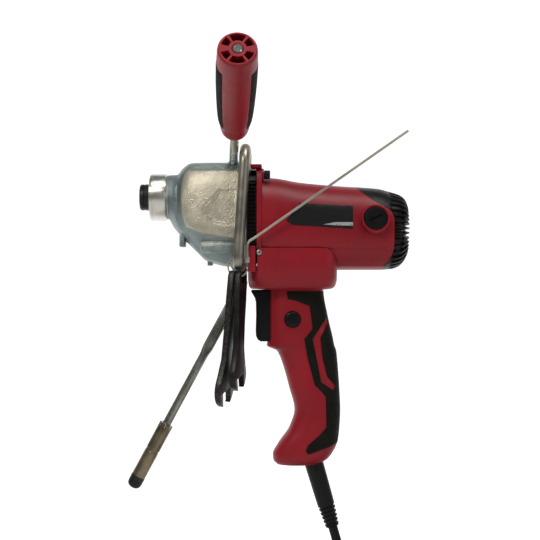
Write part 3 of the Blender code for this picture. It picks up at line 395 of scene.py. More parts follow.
def rod(radius, start, direction, length, count=48, edge=0.0):
    if edge:
        profile = [(0, radius - edge), (edge * 0.3, radius - edge * 0.3), (edge, radius)]
        profile += [(length - edge, radius), (length - edge * 0.3, radius - edge * 0.3)]
        profile.append((length, radius - edge))
        return turned(profile, start, direction, count)
    return turned([(0, radius), (length, radius)], start, direction, count)


def prism(outline, low, high, axis="Y"):
    if axis == "Y":
        rings = [[(a, depth, b) for a, b in outline] for depth in (low, high)]
    else:
        rings = [[(depth, a, b) for a, b in outline] for depth in (low, high)]
    return loft(rings)


def block(x, y, z):
    return prism([(x[0], z[0]), (x[1], z[0]), (x[1], z[1]), (x[0], z[1])], y[0], y[1])


def smooth_line(points, count):
    """Evenly spaced points on a smooth curve through the given ones."""
    places = [Vector(p) for p in points]
    places = [2 * places[0] - places[1]] + places + [2 * places[-1] - places[-2]]
    fine = []
    for a, b, c, d in zip(places, places[1:], places[2:], places[3:]):
        for i in range(16):
            t = i / 16
            line = 2 * b + (c - a) * t + (2 * a - 5 * b + 4 * c - d) * t * t
            fine.append((line + (3 * b - a - 3 * c + d) * t ** 3) / 2)
    fine.append(places[-2])
    along = [0.0]
    for a, b in zip(fine, fine[1:]):
        along.append(along[-1] + (b - a).length)
    even, k = [], 0
    for i in range(count):
        want = along[-1] * i / (count - 1)
        while k < len(fine) - 2 and along[k + 1] < want:
            k += 1
        share = (want - along[k]) / max(along[k + 1] - along[k], 1e-9)
        even.append(fine[k].lerp(fine[k + 1], min(share, 1.0)))
    return even


def tube(name, points, radius, look, sides=8):
    curve = bpy.data.curves.new(name, "CURVE")
    curve.dimensions = "3D"
    curve.bevel_depth = radius * MM
    curve.bevel_resolution = sides
    curve.use_fill_caps = True
    spline = curve.splines.new("POLY")
    spline.points.add(len(points) - 1)
    for point, place in zip(spline.points, points):
        point.co = (*(Vector(place) * MM), 1.0)
    curve.materials.append(LOOK[look])
    made = bpy.data.objects.new(name, curve)
    into_scene(made)
    made["look"] = look
    return made


def step_up(value, low, high):
    t = min(max((value - low) / (high - low), 0.0), 1.0)
    return t * t * (3 - 2 * t)


def mesh_tube(name, points, radius, look, count=32):
    """A round bar along points, as a mesh."""
    curve = tube(name, points, radius, look, count // 4)
    bpy.context.view_layer.update()
    mesh = bpy.data.meshes.new_from_object(curve.evaluated_get(bpy.context.evaluated_depsgraph_get()))
    bpy.data.objects.remove(curve, do_unlink=True)
    mesh.shade_smooth()
    made = bpy.data.objects.new(name, mesh)
    into_scene(made)
    made["look"] = look
    return made


# ---------------------------------------------------------------- camera and stage
def stage():
    camera = bpy.data.cameras.new("camera")
    camera.lens, camera.sensor_width = CAMERA_LENS, CAMERA_SENSOR
    eye = bpy.data.objects.new("camera", camera)
    eye.location = CAMERA_PLACE
    eye.rotation_euler = (math.radians(90), 0, 0)
    into_scene(eye)
    bpy.context.scene.camera = eye

    white = surface("studio_floor", (0.9, 0.9, 0.9), (0.88, 0.88, 0.88), 0.0, (0.8, 0.9), 3, (40, 0.0001))
    tree = white.node_tree
    glow = tree.nodes["Principled BSDF"]
    glow.inputs["Emission Color"].default_value = (1.0, 1.0, 1.0, 1.0)
    spot = tree.nodes.new("ShaderNodeSeparateXYZ")
    tree.links.new(tree.nodes["Texture Coordinate"].outputs["Object"], spot.inputs["Vector"])
    fade = tree.nodes.new("ShaderNodeMapRange")
    for socket, value in (("From Min", 0.0), ("From Max", GLOW_DEPTH), ("To Min", 0.0), ("To Max", GLOW)):
        fade.inputs[socket].default_value = value
    tree.links.new(spot.outputs["Y"], fade.inputs["Value"])
    tree.links.new(fade.outputs["Result"], glow.inputs["Emission Strength"])
    level = FLOOR_Z * MM
    section = [(FLOOR_NEAR, level), (FLOOR_FAR, level)]
    for i in range(1, 13):
        a = math.radians(90 * i / 12)
        section.append((FLOOR_FAR + BACKDROP_R * math.sin(a), level + BACKDROP_R * (1 - math.cos(a))))
    section.append((FLOOR_FAR + BACKDROP_R, BACKDROP_TOP))
    bm = bmesh.new()
    rows = [[bm.verts.new((x, y, z)) for x in (-FLOOR_HALF, FLOOR_HALF)] for y, z in section]
    for one, two in zip(rows, rows[1:]):
        bm.faces.new((one[0], one[1], two[1], two[0]))
    mesh = bpy.data.meshes.new("floor")
    bm.to_mesh(mesh)
    bm.free()
    mesh.materials.append(white)
    mesh.shade_smooth()
    floor = bpy.data.objects.new("floor", mesh)
    into_scene(floor)

    world = bpy.context.scene.world or bpy.data.worlds.new("studio")
    bpy.context.scene.world = world
    world.use_nodes = True
    sky = world.node_tree.nodes["Background"]
    sky.inputs["Color"].default_value = (1.0, 1.0, 1.0, 1.0)
    sky.inputs["Strength"].default_value = 0.17
    bpy.context.scene.view_settings.view_transform = "Standard"

    def lamp(name, place, aim, size, power, colour):
        data = bpy.data.lights.new(name, "AREA")
        data.shape, data.size, data.energy, data.color = "DISK", size, power, colour
        made = bpy.data.objects.new(name, data)
        made.location = place
        made.rotation_euler = (Vector(aim) - Vector(place)).to_track_quat("-Z", "Y").to_euler()
        into_scene(made)

    lamp("key", (-0.7, -1.0, 0.95), (-0.04, 0, 0.1), 0.5, 9.0, (1.0, 0.94, 0.84))
    lamp("top", (0.25, -0.4, 1.2), (0, 0, 0.1), 0.6, 6.0, (1.0, 0.99, 0.97))
    lamp("side", (1.1, -0.9, 0.35), (0, 0, 0.1), 0.8, 1.6, (0.93, 0.96, 1.0))


# ---------------------------------------------------------------- cord
def cord_points():
    """Down from the grip, flat onto the floor, then an open flat spiral outwards to the plug."""
    low = FLOOR_Z + CORD_R
    lean = math.atan2(CORD_DIRECTION.x, -CORD_DIRECTION.z)
    free = CORD_EXIT + CORD_DIRECTION * 60
    straight = (free.z - low - LANDING_R * (1 - math.sin(lean))) / math.cos(lean)
    bend = free + CORD_DIRECTION * straight
    middle = bend + Vector((math.cos(lean), 0, math.sin(lean))) * LANDING_R
    points = [CORD_EXIT - CORD_DIRECTION * 9, CORD_EXIT, free]
    for i in range(25):
        a = lean + (math.pi / 2 - lean) * i / 24
        points.append(middle - Vector((math.cos(a), 0, math.sin(a))) * LANDING_R)
    centre = Vector((middle.x, COIL_INNER, low))
    per_turn = 60
    for i in range(1, int(COIL_TURNS * per_turn) + 1):
        turn = i / per_turn
        a = math.radians(-90 + 360 * turn)
        opened = min(turn / 0.9, 1.0)
        radius = COIL_INNER + COIL_PITCH * turn + COIL_OPENING * opened ** 2 * (3 - 2 * opened)
        points.append(centre + Vector((math.cos(a), math.sin(a), 0)) * radius)
    points.append(points[-1] + Vector((12, 0, 0.6)))
    return points


def cord():
    points = cord_points()
    made = tube("mains_cord", points, CORD_R, "cord", 6)
    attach(made, "machine")
    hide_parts("power_cord", "cord_coil")

    profile = [(-10, 5.0), (-10, 8.2), (0, 8.5), (2, 8.6), (38, 7.9)]
    for i in range(5):
        along = 40 + 3.8 * i
        outer = 7.8 - 1.5 * (along - 40) / 19
        profile += [(along, outer), (along + 0.5, outer - 1.2)]
        profile += [(along + 1.6, outer - 1.2), (along + 2.1, outer)]
    profile += [(59.2, 6.2), (60, 5.6), (60, 5.0)]
    guard = add("cord_guard_fine", turned(profile, CORD_EXIT, CORD_DIRECTION, 40, True), "cord")
    finish(guard, "machine", "cord_guard")

    place = Vector((points[-1].x - 1, points[-1].y, FLOOR_Z + 9.6))
    facing, side = Vector((1, 0, 0)), Vector((0, 1, 0))
    profile = [(0, 4.4), (0.4, 5.1), (3, 5.9), (4, 5.4), (6, 5.6), (7, 6.9), (9, 6.6), (10, 7.6), (17, 8.4),
               (24, 9.0), (33, 9.4), (36, 9.4), (37, 8.6), (37, 0)]
    parts = [add("plug_body", turned([(0, 0)] + profile, place, facing, 48), "cord")]
    for sign in (-1, 1):
        pin = [(0, 2.0), (14.6, 2.0), (16, 1.2), (16, 0)]
        at = place + facing * 34 + side * sign * 4.6
        parts.append(add("pin", turned([(0, 0)] + pin, at, facing, 24), "chrome"))
    plug = finish(join("plug_fine", parts, "cord"), "machine", "plug")


# ---------------------------------------------------------------- nose and gear housing
# Stations: x, bottom, top, half width, squareness
HOUSING = [(-120.6, 139.0, 177.6, 19.5, 2.0), (-119.6, 138.0, 178.5, 20.3, 2.0),
           (-115.5, 130.6, 178.6, 22.5, 2.0),
           (-111.8, 126.0, 179.2, 25.0, 2.1), (-108.0, 122.0, 183.6, 28.0, 2.2),
           (-104.0, 117.5, 187.0, 30.5, 2.4), (-99.6, 113.2, 189.2, 32.5, 2.6),
           (-94.4, 108.2, 189.5, 33.8, 2.8), (-85.3, 99.9, 189.5, 34.8, 3.0),
           (-75.0, 96.5, 189.5, 35.0, 3.2), (-66.5, 94.7, 189.5, 35.0, 3.3), (-48.6, 94.2, 189.5, 35.0, 3.3)]
FACET = ((-71.9, 162.7), (-87.4, 145.8), (-78.1, 134.3), (-58.6, 131.6))


def facet_distance(x, z):
    best = 99.0
    for (ax, az), (bx, bz) in zip(FACET, FACET[1:]):
        dx, dz = bx - ax, bz - az
        t = min(max(((x - ax) * dx + (z - az) * dz) / (dx * dx + dz * dz), 0.0), 1.0)
        best = min(best, math.hypot(x - ax - dx * t, z - az - dz * t))
    return best


def inside_facet(x, z):
    if x < -71.9:
        upper = 145.8 + (x + 87.4) * (162.7 - 145.8) / 15.5
    else:
        upper = 162.7
    if x < -78.1:
        lower = 145.8 + (x + 87.4) * (134.3 - 145.8) / 9.3
    else:
        lower = 134.3 + (x + 78.1) * (131.6 - 134.3) / 19.5
    return x > -87.4 and lower < z < upper


def side_relief(x, z):
    """How far the cast side stands back, in millimetres, and how much of the raised panel is there."""
    from_centre = math.hypot(x - PANEL_CENTRE[0], z - PANEL_CENTRE[1])
    panel = 1 - step_up(from_centre, PANEL_R, PANEL_R + 1.6)
    keel = 120.1 + 0.00575 * (x + 58.6) ** 2
    panel *= step_up(z, keel - 0.8, keel + 0.8) * (1 - step_up(z, 180.4, 182.4))
    back = PANEL_STEP * (1 - panel)
    if inside_facet(x, z):
        sunk = step_up(facet_distance(x, z), 0.3, 1.4) * (1 - step_up(x, -60, -54))
        back += FACET_STEP * sunk * panel
    back -= 0.7 * (1 - step_up(facet_distance(x, z), 0.3, 1.3)) * panel
    return back, panel


def gear_housing():
    rings = x_rings(HOUSING, 0.8, 260)
    # The panel weight on the flat sides is kept as the vertex attribute "panel", which the cast material turns
    # into a painted highlight.
    painted_highlight_weights = []
    for ring in rings:
        for i, (x, y, z) in enumerate(ring):
            weight = step_up(abs(y), 19.0, 25.0) * step_up(x, -113, -111)
            back, panel = side_relief(x, z)
            ring[i] = (x, y - math.copysign(back * weight, y), z)
            painted_highlight_weights.append(panel * weight)
    bm = loft(rings)
    layer = bm.verts.layers.float.new("panel")
    for vert, tone in zip(bm.verts, painted_highlight_weights):
        vert[layer] = tone
    body = add("cast_body", bm, "cast", 30)
    parts = [body]
    x_dir = Vector((1, 0, 0))
    for side in (-1, 1):
        start = Vector((-89.5, side * 29.4, 112.6))
        parts.append(add("boss", rod(5.9, start, x_dir, 31.5, 40, 1.6), "cast"))
        rim = block((-51.2, -48.6), sorted((side * 33.2, side * 35.4)), (101, 176))
        parts.append(round_edges(add("rim", rim, "cast"), 0.6))
    px, pz = BAIL_PIVOT
    for side in (-1, 1):
        boss = rod(7.2, Vector((px, side * 16.8, pz)), (0, side, 0), 6.3, 40, 0.8)
        parts.append(add("boss", boss, "cast"))
    for low in (1.8, 11.0):
        outline = [(-58, 74.0), (-48.8, 74.0), (-48.8, 92), (-50, 99), (-62, 99), (-62, 90)]
        parts.append(round_edges(add("cheek", prism(outline, low, low + 3.2), "cast"), 0.5))
    parts.append(round_edges(add("lug", block((-109.6, -104.6), (-14, 8), (112.6, 124.6)), "cast"), 0.9))
    parts.append(round_edges(add("lug", block((-84.4, -80.0), (-9, 9), (95.6, 101)), "cast"), 0.8))
    profile = [(0, 6.2), (0.4, 6.6), (1.0, 6.6), (1.5, 6.1)]
    pad = turned(profile, HANDLE_ROOT - HANDLE_AXIS * 7.5, HANDLE_AXIS)
    parts.append(add("pad", pad, "cast"))
    neck = [(-121.0, 17), (-121.0, 20.0), (-119.4, 20.3), (-116, 20.5)]
    parts.append(add("neck", turned(neck, (0, 0, SPINDLE_Z), x_dir, 96), "cast"))
    finish(join("gear_housing_fine", parts), "machine", "gear_housing")

    profile = [(-136.9, 12.6), (-136.9, 20.4), (-136.5, 21.1), (-135.7, 21.5), (-134.3, 21.5),
               (-134.1, 21.25), (-133.5, 21.25), (-133.3, 21.5), (-123.0, 21.5), (-122.2, 21.2),
               (-121.4, 20.6), (-121.4, 12.6)]
    sleeve = add("nose_sleeve_fine", turned(profile, (0, 0, SPINDLE_Z), x_dir, 128, True), "turned")
    finish(sleeve, "machine", "nose_sleeve")

    x0 = SPINDLE_FRONT
    profile = [(x0 + 30, 0), (x0 + 30, 7.0), (x0 + 1.0, 7.0), (x0, 8.0), (x0, 10.6), (x0 + 0.5, 11.5),
               (x0 + 1.4, 12.0), (x0 + 3.6, 12.0), (x0 + 3.8, 11.6), (x0 + 4.6, 11.6), (x0 + 4.8, 12.0),
               (-112, 12.0), (-112, 9.7), (-100, 9.7), (-100, 7.5), (-47.2, 7.5), (-47.2, 0)]
    spindle = add("spindle_fine", turned(profile, (0, 0, SPINDLE_Z), x_dir, 96), "black_steel")
    finish(spindle, "spindle", "output_spindle")


# ---------------------------------------------------------------- motor
BARREL = [(-39.4, 97.5, 186.5, 35.0, 3.4), (FLANGE_REAR - 0.4, 97.5, 186.5, 35.0, 3.4),
          (FLANGE_REAR, 97.9, 186.1, 34.6, 3.4), (FLANGE_REAR + 0.3, 97.5, 175.8, 35.0, 2.6),
          (-26.0, 92.5, 175.6, 35.0, 2.5), (0.9, 90.5, 171.4, 35.0, 2.4), (30.0, 91.7, 168.7, 35.0, 2.3),
          (70.0, 91.7, 166.0, 35.0, 2.3), (83.5, 92.6, 162.6, 34.4, 2.2), (90.0, 95.0, 160.5, 33.0, 2.2),
          (95.5, 101.0, 156.5, 28.5, 2.1), (97.9, 106.0, 151.0, 23.0, 2.0)]


def barrel_mesh(name, look, shape, grow=0.0):
    rings = x_rings(BARREL, 1.3, 220, grow)
    for ring in rings:
        for i, (x, y, z) in enumerate(ring):
            ring[i] = shape(x, y, z)
    return add(name, loft(rings), look, 30)


def crease(x, y, z):
    """Below the crease line the side wall stands back a little."""
    weight = step_up(abs(y), 15, 22) * step_up(x, -29.5, -28.0) * (1 - step_up(x, 76.0, 78.0))
    back = CREASE_STEP * (1 - step_up(z, 110.6, 111.5)) * weight
    return (x, y - math.copysign(back, y), z)


def teeth(x, y, z):
    """The cooling fins round the rear edge of the cap, cut into its side and its rear face."""
    angle = math.atan2(z - CAP_MIDDLE_Z, y)
    groove = step_up(math.sin(angle * FIN_COUNT), -0.25, 0.1)
    reach = math.hypot(y, z - CAP_MIDDLE_Z)
    depth = 2.2 * step_up(x, 80.0, 82.5) * groove
    keep = 1 - depth / max(reach, 1.0)
    back = 3.4 * step_up(x, 88.0, 95.0) * groove * step_up(reach, 16.0, 20.0)
    return (x - back, y * keep, CAP_MIDDLE_Z + (z - CAP_MIDDLE_Z) * keep)


def brush_axes():
    return [Vector((0, side * math.cos(BRUSH_TILT), -side * math.sin(BRUSH_TILT))) for side in (-1, 1)]


def rear_outline(s, front):
    near = [(72.4 + s, 60), (72.4 + s, 92)]
    for i in range(1, 8):
        t = i / 8
        near.append((72.4 + s + 10.7 * (1 - (1 - t) ** 2), 92 + 22.6 * t))
    near += [(83.1 + s, 114.6), (83.1 + s, 138.0), (80.5 + s, 144.0), (74 + s, 148.5), (64.8 + s, 153.5)]
    near += [(53.5 + s, 162.8), (50.8 + s, 166.0), (50.8 + s, 200)]
    edge = -70 if front else 120
    return near + [(edge, 200), (edge, 60)]


def motor():
    x_dir = (1, 0, 0)
    centre = Vector((BRUSH_X, 0, MOTOR_Z))
    body = barrel_mesh("barrel", "red", crease)
    combine(body, [add("keep", prism(rear_outline(0, True), -60, 60), "red")], "INTERSECT")
    parts = [body]
    for a in brush_axes():
        profile = [(20, 10.4), (20, 14.2), (39.6, 13.0), (41.0, 12.5), (41.4, 11.9), (41.4, 10.9),
                   (37, 10.9), (37, 10.4)]
        parts.append(add("brush_boss", turned(profile, centre, a, 72, True), "red"))
    for side in (-1, 1):
        lug = block((-45.0, -34.9), sorted((side * 13.0, side * 28.0)), (183.3, 186.4))
        parts.append(round_edges(add("lug", lug, "red"), 0.8))
        post = rod(5.6, (-36.0, side * 22.0, 177.2), x_dir, 3.0, 40, 0.6)
        parts.append(add("post", post, "red"))
    finish(join("motor_housing_fine", parts), "machine", "motor_housing")

    cap = barrel_mesh("cap_body", "black", teeth)
    combine(cap, [add("keep", prism(rear_outline(0.3, False), -60, 60), "black")], "INTERSECT")
    clear = [add("clear", rod(14.4, centre + a * 20, a, 30, 48), "black") for a in brush_axes()]
    combine(cap, clear)
    finish(cap, "machine", "end_cap")
    cap.name = "end_cap_fine"

    for label, a in zip(("left", "right"), brush_axes()):
        profile = [(34.4, 0), (34.4, 10.2), (40.6, 10.5), (41.6, 10.3), (42.3, 9.6), (42.4, 8.6), (42.0, 8.2),
                   (42.0, 0)]
        parts = [add("disc", turned(profile, centre, a, 72), "black")]
        up = Vector((1, 0, 0)).cross(a)
        slot = []
        for x, u in ((-6.4, -0.9), (6.4, -0.9), (6.4, 0.9), (-6.4, 0.9)):
            slot.append(Vector((x, 0, 0)) + up * u)
        turn = Matrix.Rotation(math.radians(25), 3, a)
        rings = [[centre + a * depth + turn @ p for p in slot] for depth in (40.8, 45.0)]
        combine(parts[0], [add("slot", loft(rings), "black")])
        finish(parts[0], "machine", "brush_cap_" + label)
        parts[0].name = "brush_cap_fine_" + label

    ring_stations = [(-48.3, 96.6, 182.6, 32.4, 3.2), (-47.9, 96, 183.2, 33.0, 3.2),
                     (-40.1, 96, 183.2, 33.0, 3.2), (-39.7, 96.6, 182.6, 32.4, 3.2)]
    rings = x_rings(ring_stations, 0.6, 400)
    for ring in rings:
        for i, (x, y, z) in enumerate(ring):
            slot = step_up(math.sin(z * 2 * math.pi / VENT_PITCH), 0.1, 0.35)
            open_part = step_up(x, -47.4, -47.0) * (1 - step_up(x, -41.0, -40.6))
            back = 1.6 * slot * step_up(abs(y), 27, 30) * open_part
            ring[i] = (x, y - math.copysign(back, y), z)
    vent = add("vent_ring_fine", loft(rings), "black", 30)
    finish(vent, "machine", "vent_ring")


def label_plate():
    """A plain plate without letters, with one bright bar, on the near side of the motor."""
    outline = [(-1.0, 151.4), (46.3, 148.7), (46.3, 128.2), (-7.6, 131.7), (-13.2, 135.8)]
    cutter = add("plate_shape", prism(outline, -60, -10), "plate")
    plate = barrel_mesh("type_plate", "plate", lambda x, y, z: (x, y, z), 0.22)
    combine(plate, [cutter], "INTERSECT")
    bar = barrel_mesh("type_bar", "silver", lambda x, y, z: (x, y, z), 0.3)
    shape = [(46.2, 134.2), (30.6, 134.2), (19.6, 132.2), (30.6, 131.4), (46.2, 131.0)]
    combine(bar, [add("bar_shape", prism(shape, -60, -10), "silver")], "INTERSECT")
    for made in (plate, bar):
        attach(made, "machine")


# ---------------------------------------------------------------- pistol grip
GRIP = [(111.5, -47.4, 33.0, 33.4, 6), (98.0, -47.4, 33.2, 33.6, 6), (84.0, -47.4, 33.2, 31.5, 5),
        (77.0, -46.6, 31.8, 28.5, 4), (74.6, -44.6, 28.5, 25.5, 4), (73.6, -28.4, 21.0, 17.8, 3),
        (50.0, -28.4, 24.8, 17.8, 3), (31.0, -28.6, 29.3, 18.2, 2.8), (22.6, -30.6, 31.0, 18.0, 2.6),
        (18.3, -21.5, 32.6, 17.8, 2.6), (6.0, -16.0, 33.9, 17.6, 2.5), (-14.7, -10.2, 35.4, 17.8, 2.5),
        (-36.0, -5.2, 36.3, 18.2, 2.5), (-51.3, -9.7, 35.6, 18.8, 2.5), (-66.9, -20.2, 33.6, 19.4, 2.5),
        (-76.6, -25.0, 28.6, 19.2, 2.5), (-82.0, -24.4, 23.5, 17.6, 2.4), (-85.6, -21.0, 16.0, 13.5, 2.2)]
COVER = [(-12.5, 72.5), (-11.5, 65.5), (-4.0, 64.0), (5.2, 60.3), (8.1, 59.4), (9.9, 47.5),
         (10.8, 38.5), (3.4, 29.5), (6.2, 13.0), (10.8, -4.5), (12.8, -12.0), (18.7, -17.8),
         (22.9, -23.0), (23.4, -50.5), (17.4, -57.0), (7.0, -66.0), (4.5, -71.5), (7.1, -74.5),
         (20.8, -69.8), (33.4, -65.6), (45.0, -62.0), (45.0, 72.5)]
STRIPE = [(24.0, 48.8), (10.9, 29.6), (14.2, 14.0), (18.8, -9.6), (30.0, -17.2), (31.9, -13.2), (24.3, -5.0),
          (19.8, 12.2), (18.0, 30.4), (26.0, 45.2)]
SCREWS = ((26.0, 83.0, 29.6), (8.0, -60.0, 17.6))
EAR_SCREW = (-37.1, 107.5)


def handle():
    y_dir = (0, 1, 0)
    for label, side in (("left", -1), ("right", 1)):
        shell = add("shell", loft(z_rings(GRIP, 1.6, 200)), "red")
        sides = sorted((side * 0.12, side * 60))
        tools = [add("half", block((-70, 60), sides, (-120, 130)), "red")]
        combine(shell, tools, "INTERSECT")
        inner = [(z, f + 3, r - 3, h - 3, p) for z, f, r, h, p in GRIP if -80 < z < 105]
        tools = [add("cavity", loft(z_rings(inner, 12, 60)), "red")]
        tools.append(add("barrel", loft(x_rings(BARREL, 5, 100, 0.4)), "red"))
        tools.append(add("ring", block((-52, -39.0), (-34.4, 34.4), (93.1, 200)), "red"))
        for x, z, face in SCREWS:
            if side > 0:
                tools.append(add("head", rod(3.5, (x, face - 2.2, z), y_dir, 30, 32), "red"))
        seat = rod(3.0, (EAR_SCREW[0], side * 32.2, EAR_SCREW[1]), (0, side, 0), 9, 32)
        tools.append(add("ear_head", seat, "red"))
        tools.append(add("trigger_slot", block((-60, -20), (-9.4, 9.4), (26.0, 74.2)), "red"))
        hole = rod(9.0, CORD_EXIT - CORD_DIRECTION * 12, CORD_DIRECTION, 40, 40)
        tools.append(add("cord_hole", hole, "red"))
        if side < 0:
            tools.append(add("button_hole", rod(7.6, (-7.1, -30, 47.1), y_dir, 24, 48), "red"))
        combine(shell, tools)
        near = sorted((side * 33.2, side * 35.0))
        ears = [round_edges(add("ear", block((-47.2, -40.4), near, (90, 113.4)), "red"), 0.7)]
        sill = block((-47.2, -39.6), sorted((side * 0.12, side * 33.6)), (92.4, 95.8))
        ears.append(add("sill", sill, "red"))
        shell = join("handle_shell_fine_" + label, [shell] + ears)
        finish(shell, "machine", "handle_shell_" + label)

        cover = add("cover", loft(z_rings(GRIP, 1.6, 200, 0.5)), "rubber")
        combine(cover, [add("half", block((-70, 60), sides, (-120, 130)), "rubber")], "INTERSECT")
        combine(cover, [add("outline", prism(COVER, -50, 50), "rubber")], "INTERSECT")
        tools = [add("core", loft(z_rings(GRIP, 3.2, 120, -0.4)), "rubber")]
        tools.append(add("stripe", prism(STRIPE, *sorted((side * 9, side * 50))), "rubber"))
        combine(cover, tools)
        finish(cover, "machine", "grip_cover_" + label)
        cover.name = "grip_cover_fine_" + label

    outline = [(-21.4, 27.0), (-21.4, 73.6), (-45.0, 73.6), (-44.5, 71.5), (-42.8, 68.8), (-41.2, 66.0),
               (-40.4, 62.0), (-40.2, 50.0), (-40.6, 36.0), (-40.2, 31.5), (-38.8, 28.4), (-36.0, 26.6),
               (-30.0, 26.6)]
    trigger = round_edges(add("trigger_fine", prism(outline, -8.8, 8.8), "black"), 2.4, 5, 40)
    finish(trigger, "trigger_lever", "trigger")
    cap = [(0, 0), (0, 5.4), (0.3, 6.4), (0.9, 7.0), (1.8, 7.2), (8.4, 7.2), (8.4, 0)]
    button = add("lock_button_fine", turned(cap, (-7.1, -19.6, 47.1), y_dir, 72), "black")
    finish(button, "lock_knob", "lock_button")


def cross_screw(name, place, direction, radius, depth, node, look="black_steel"):
    """A pan head with a cross recess."""
    direction = Vector(direction).normalized()
    profile = [(0, 0), (0, radius * 0.5), (0.3, radius * 0.85), (0.9, radius), (depth, radius), (depth, 0)]
    made = add(name, turned(profile, place, direction, 40), look)
    turn = direction.to_track_quat("Z", "Y").to_matrix()
    tools = []
    for long_axis in (0, 1):
        half = [radius * 0.55, radius * 0.16] if long_axis == 0 else [radius * 0.16, radius * 0.55]
        rings = []
        for along in (-1.0, 1.0):
            corners = [(-half[0], -half[1]), (half[0], -half[1]), (half[0], half[1]), (-half[0], half[1])]
            rings.append([Vector(place) + turn @ Vector((a, b, along)) for a, b in corners])
        tools.append(add("cross", loft(rings), look))
    combine(made, tools)
    return finish(made, "machine", node)


def screws():
    y_dir = Vector((0, 1, 0))
    for label, (x, z, face) in zip(("upper", "lower"), SCREWS):
        cross_screw("grip_screw_fine_" + label, (x, face - 0.1, z), -y_dir, 3.1, 4.0, "grip_screw_" + label)
    for label, side in (("left", -1), ("right", 1)):
        place = (EAR_SCREW[0], side * 33.8, EAR_SCREW[1])
        cross_screw("ear_screw_fine_" + label, place, (0, -side, 0), 2.6, 3.0, "ear_screw_" + label, "steel")
    for number, side in ((1, -1), (2, 1)):
        start = (FLANGE_REAR + 1.9, side * 22.0, 177.2)
        profile = [(0, 3.8), (0.4, 4.0), (5.2, 4.0), (5.6, 3.6), (5.6, 2.0), (3.6, 1.8), (3.6, 0)]
        screw = turned([(0, 0)] + profile, start, (1, 0, 0), 40)
        made = add("housing_screw_fine_%d" % number, screw, "black_steel")
        finish(made, "machine", "housing_screw_%d" % number)


# ---------------------------------------------------------------- side handle, bail, hanging pieces
def side_handle():
    across = Vector((1, 0, 0))
    across = (across - HANDLE_AXIS * across.dot(HANDLE_AXIS)).normalized()
    up = HANDLE_AXIS.cross(across) * -1

    def sector(low_deg, high_deg, inner_r, outer_r, start, end, steps=16):
        points = [(outer_r, low_deg + (high_deg - low_deg) * i / steps) for i in range(steps + 1)]
        points += [(inner_r, high_deg + (low_deg - high_deg) * i / steps) for i in range(steps + 1)]
        rings = []
        for along in (start, end):
            centre = HANDLE_ROOT + HANDLE_AXIS * along
            rings.append([centre + across * r * math.cos(math.radians(d)) + up * r * math.sin(math.radians(d))
                          for r, d in points])
        return loft(rings)

    body = [(57, 7.2), (57.5, 8.4), (59, 9.9), (63, 11.8), (68, 12.6), (76, 13.3), (84, 14.4),
            (109, 15.6), (146, 16.3), (167, 16.3), (179, 15.9), (183.5, 15.5), (185, 14.4)]
    body = smooth_stations(body, 2.0)
    profile = [(57, 4.55)] + body + [(185, 4.55)]
    grip = add("side_handle_fine", turned(profile, HANDLE_ROOT, HANDLE_AXIS, 96, True), "red")
    tools = []
    for low, high in ((15, 50), (60, 120), (130, 165), (195, 230), (240, 300), (310, 345)):
        tools.append(add("pocket", sector(low, high, 7.2, 13.2, 172, 194), "red"))
    for middle in (0, 180):
        tools.append(add("bed", sector(middle - 45.6, middle + 45.6, 12.0, 24, 78, 166, 24), "red"))
    combine(grip, tools)
    finish(grip, "machine", "side_handle_grip")

    for label, middle in (("left", 180), ("right", 0)):
        outer = [(78.4, 14.1), (84, 14.8), (109, 16.0), (146, 16.7), (163, 16.7), (165.6, 16.3)]
        outer = smooth_stations(outer, 2.0)
        ribbed = []
        for along, radius in smooth_stations(outer, 0.5):
            wave = math.sin(2 * math.pi * along / 4.6)
            ribbed.append((along, radius - 0.45 * step_up(wave, 0.2, 0.7)))
        profile = [(78.4, 12.2)] + ribbed + [(165.6, 12.2)]
        inlay = add("inlay", turned(profile, HANDLE_ROOT, HANDLE_AXIS, 96, True), "rubber")
        keep = sector(middle - 45, middle + 45, 11.8, 24, 70, 170, 24)
        combine(inlay, [add("keep", keep, "rubber")], "INTERSECT")
        finish(inlay, "machine", "side_handle_inlay_" + label)
        inlay.name = "side_handle_inlay_fine_" + label
    shank = [(-8.0, 0), (-8.0, 3.9), (-4, 4.1), (184.0, 4.1), (185.2, 3.8), (185.6, 3.2), (185.6, 0)]
    bolt = add("side_handle_rod_fine", turned(shank, HANDLE_ROOT, HANDLE_AXIS, 64), "chrome")
    finish(bolt, "machine", "side_handle_rod")


def bail():
    (px, pz), (tx, tz) = BAIL_PIVOT, BAIL_TOP
    lean = math.atan2(tx - px, tz - pz)
    corner, foot = 15.0, 6.2

    def place(y, height):
        return Vector((px + height * math.sin(lean), y, pz + height * math.cos(lean)))

    tall = (tz - pz) / math.cos(lean)
    half = [(-20.0, 0.0), (-30.0, 0.0)]
    for i in range(11):
        a = math.radians(9 * i)
        half.append((-(BAIL_Y - foot) - foot * math.sin(a), foot * (1 - math.cos(a))))
    half += [(-BAIL_Y, 20.0), (-BAIL_Y, 45.0), (-BAIL_Y, 70.0)]
    for i in range(13):
        a = math.radians(7.5 * i)
        half.append((-(BAIL_Y - corner) - corner * math.cos(a), tall - corner + corner * math.sin(a)))
    points = [place(y, h) for y, h in half] + [place(-y, h) for y, h in reversed(half)]
    finish(mesh_tube("bail_fine", points, BAIL_R, "bail", 40), "bail_loop", "bail")


def ribbon(name, points, half_width, half_thick, width_dir, look):
    """A flat strap along points."""
    rings = []
    for i, point in enumerate(points):
        before, after = points[max(i - 1, 0)], points[min(i + 1, len(points) - 1)]
        along = (after - before).normalized()
        wide = (width_dir - along * width_dir.dot(along)).normalized()
        thick = along.cross(wide)
        rings.append([point + wide * a + thick * b for a, b in even_oval(20, half_width, half_thick, 4.0)])
    return add(name, loft(rings), look, 50)


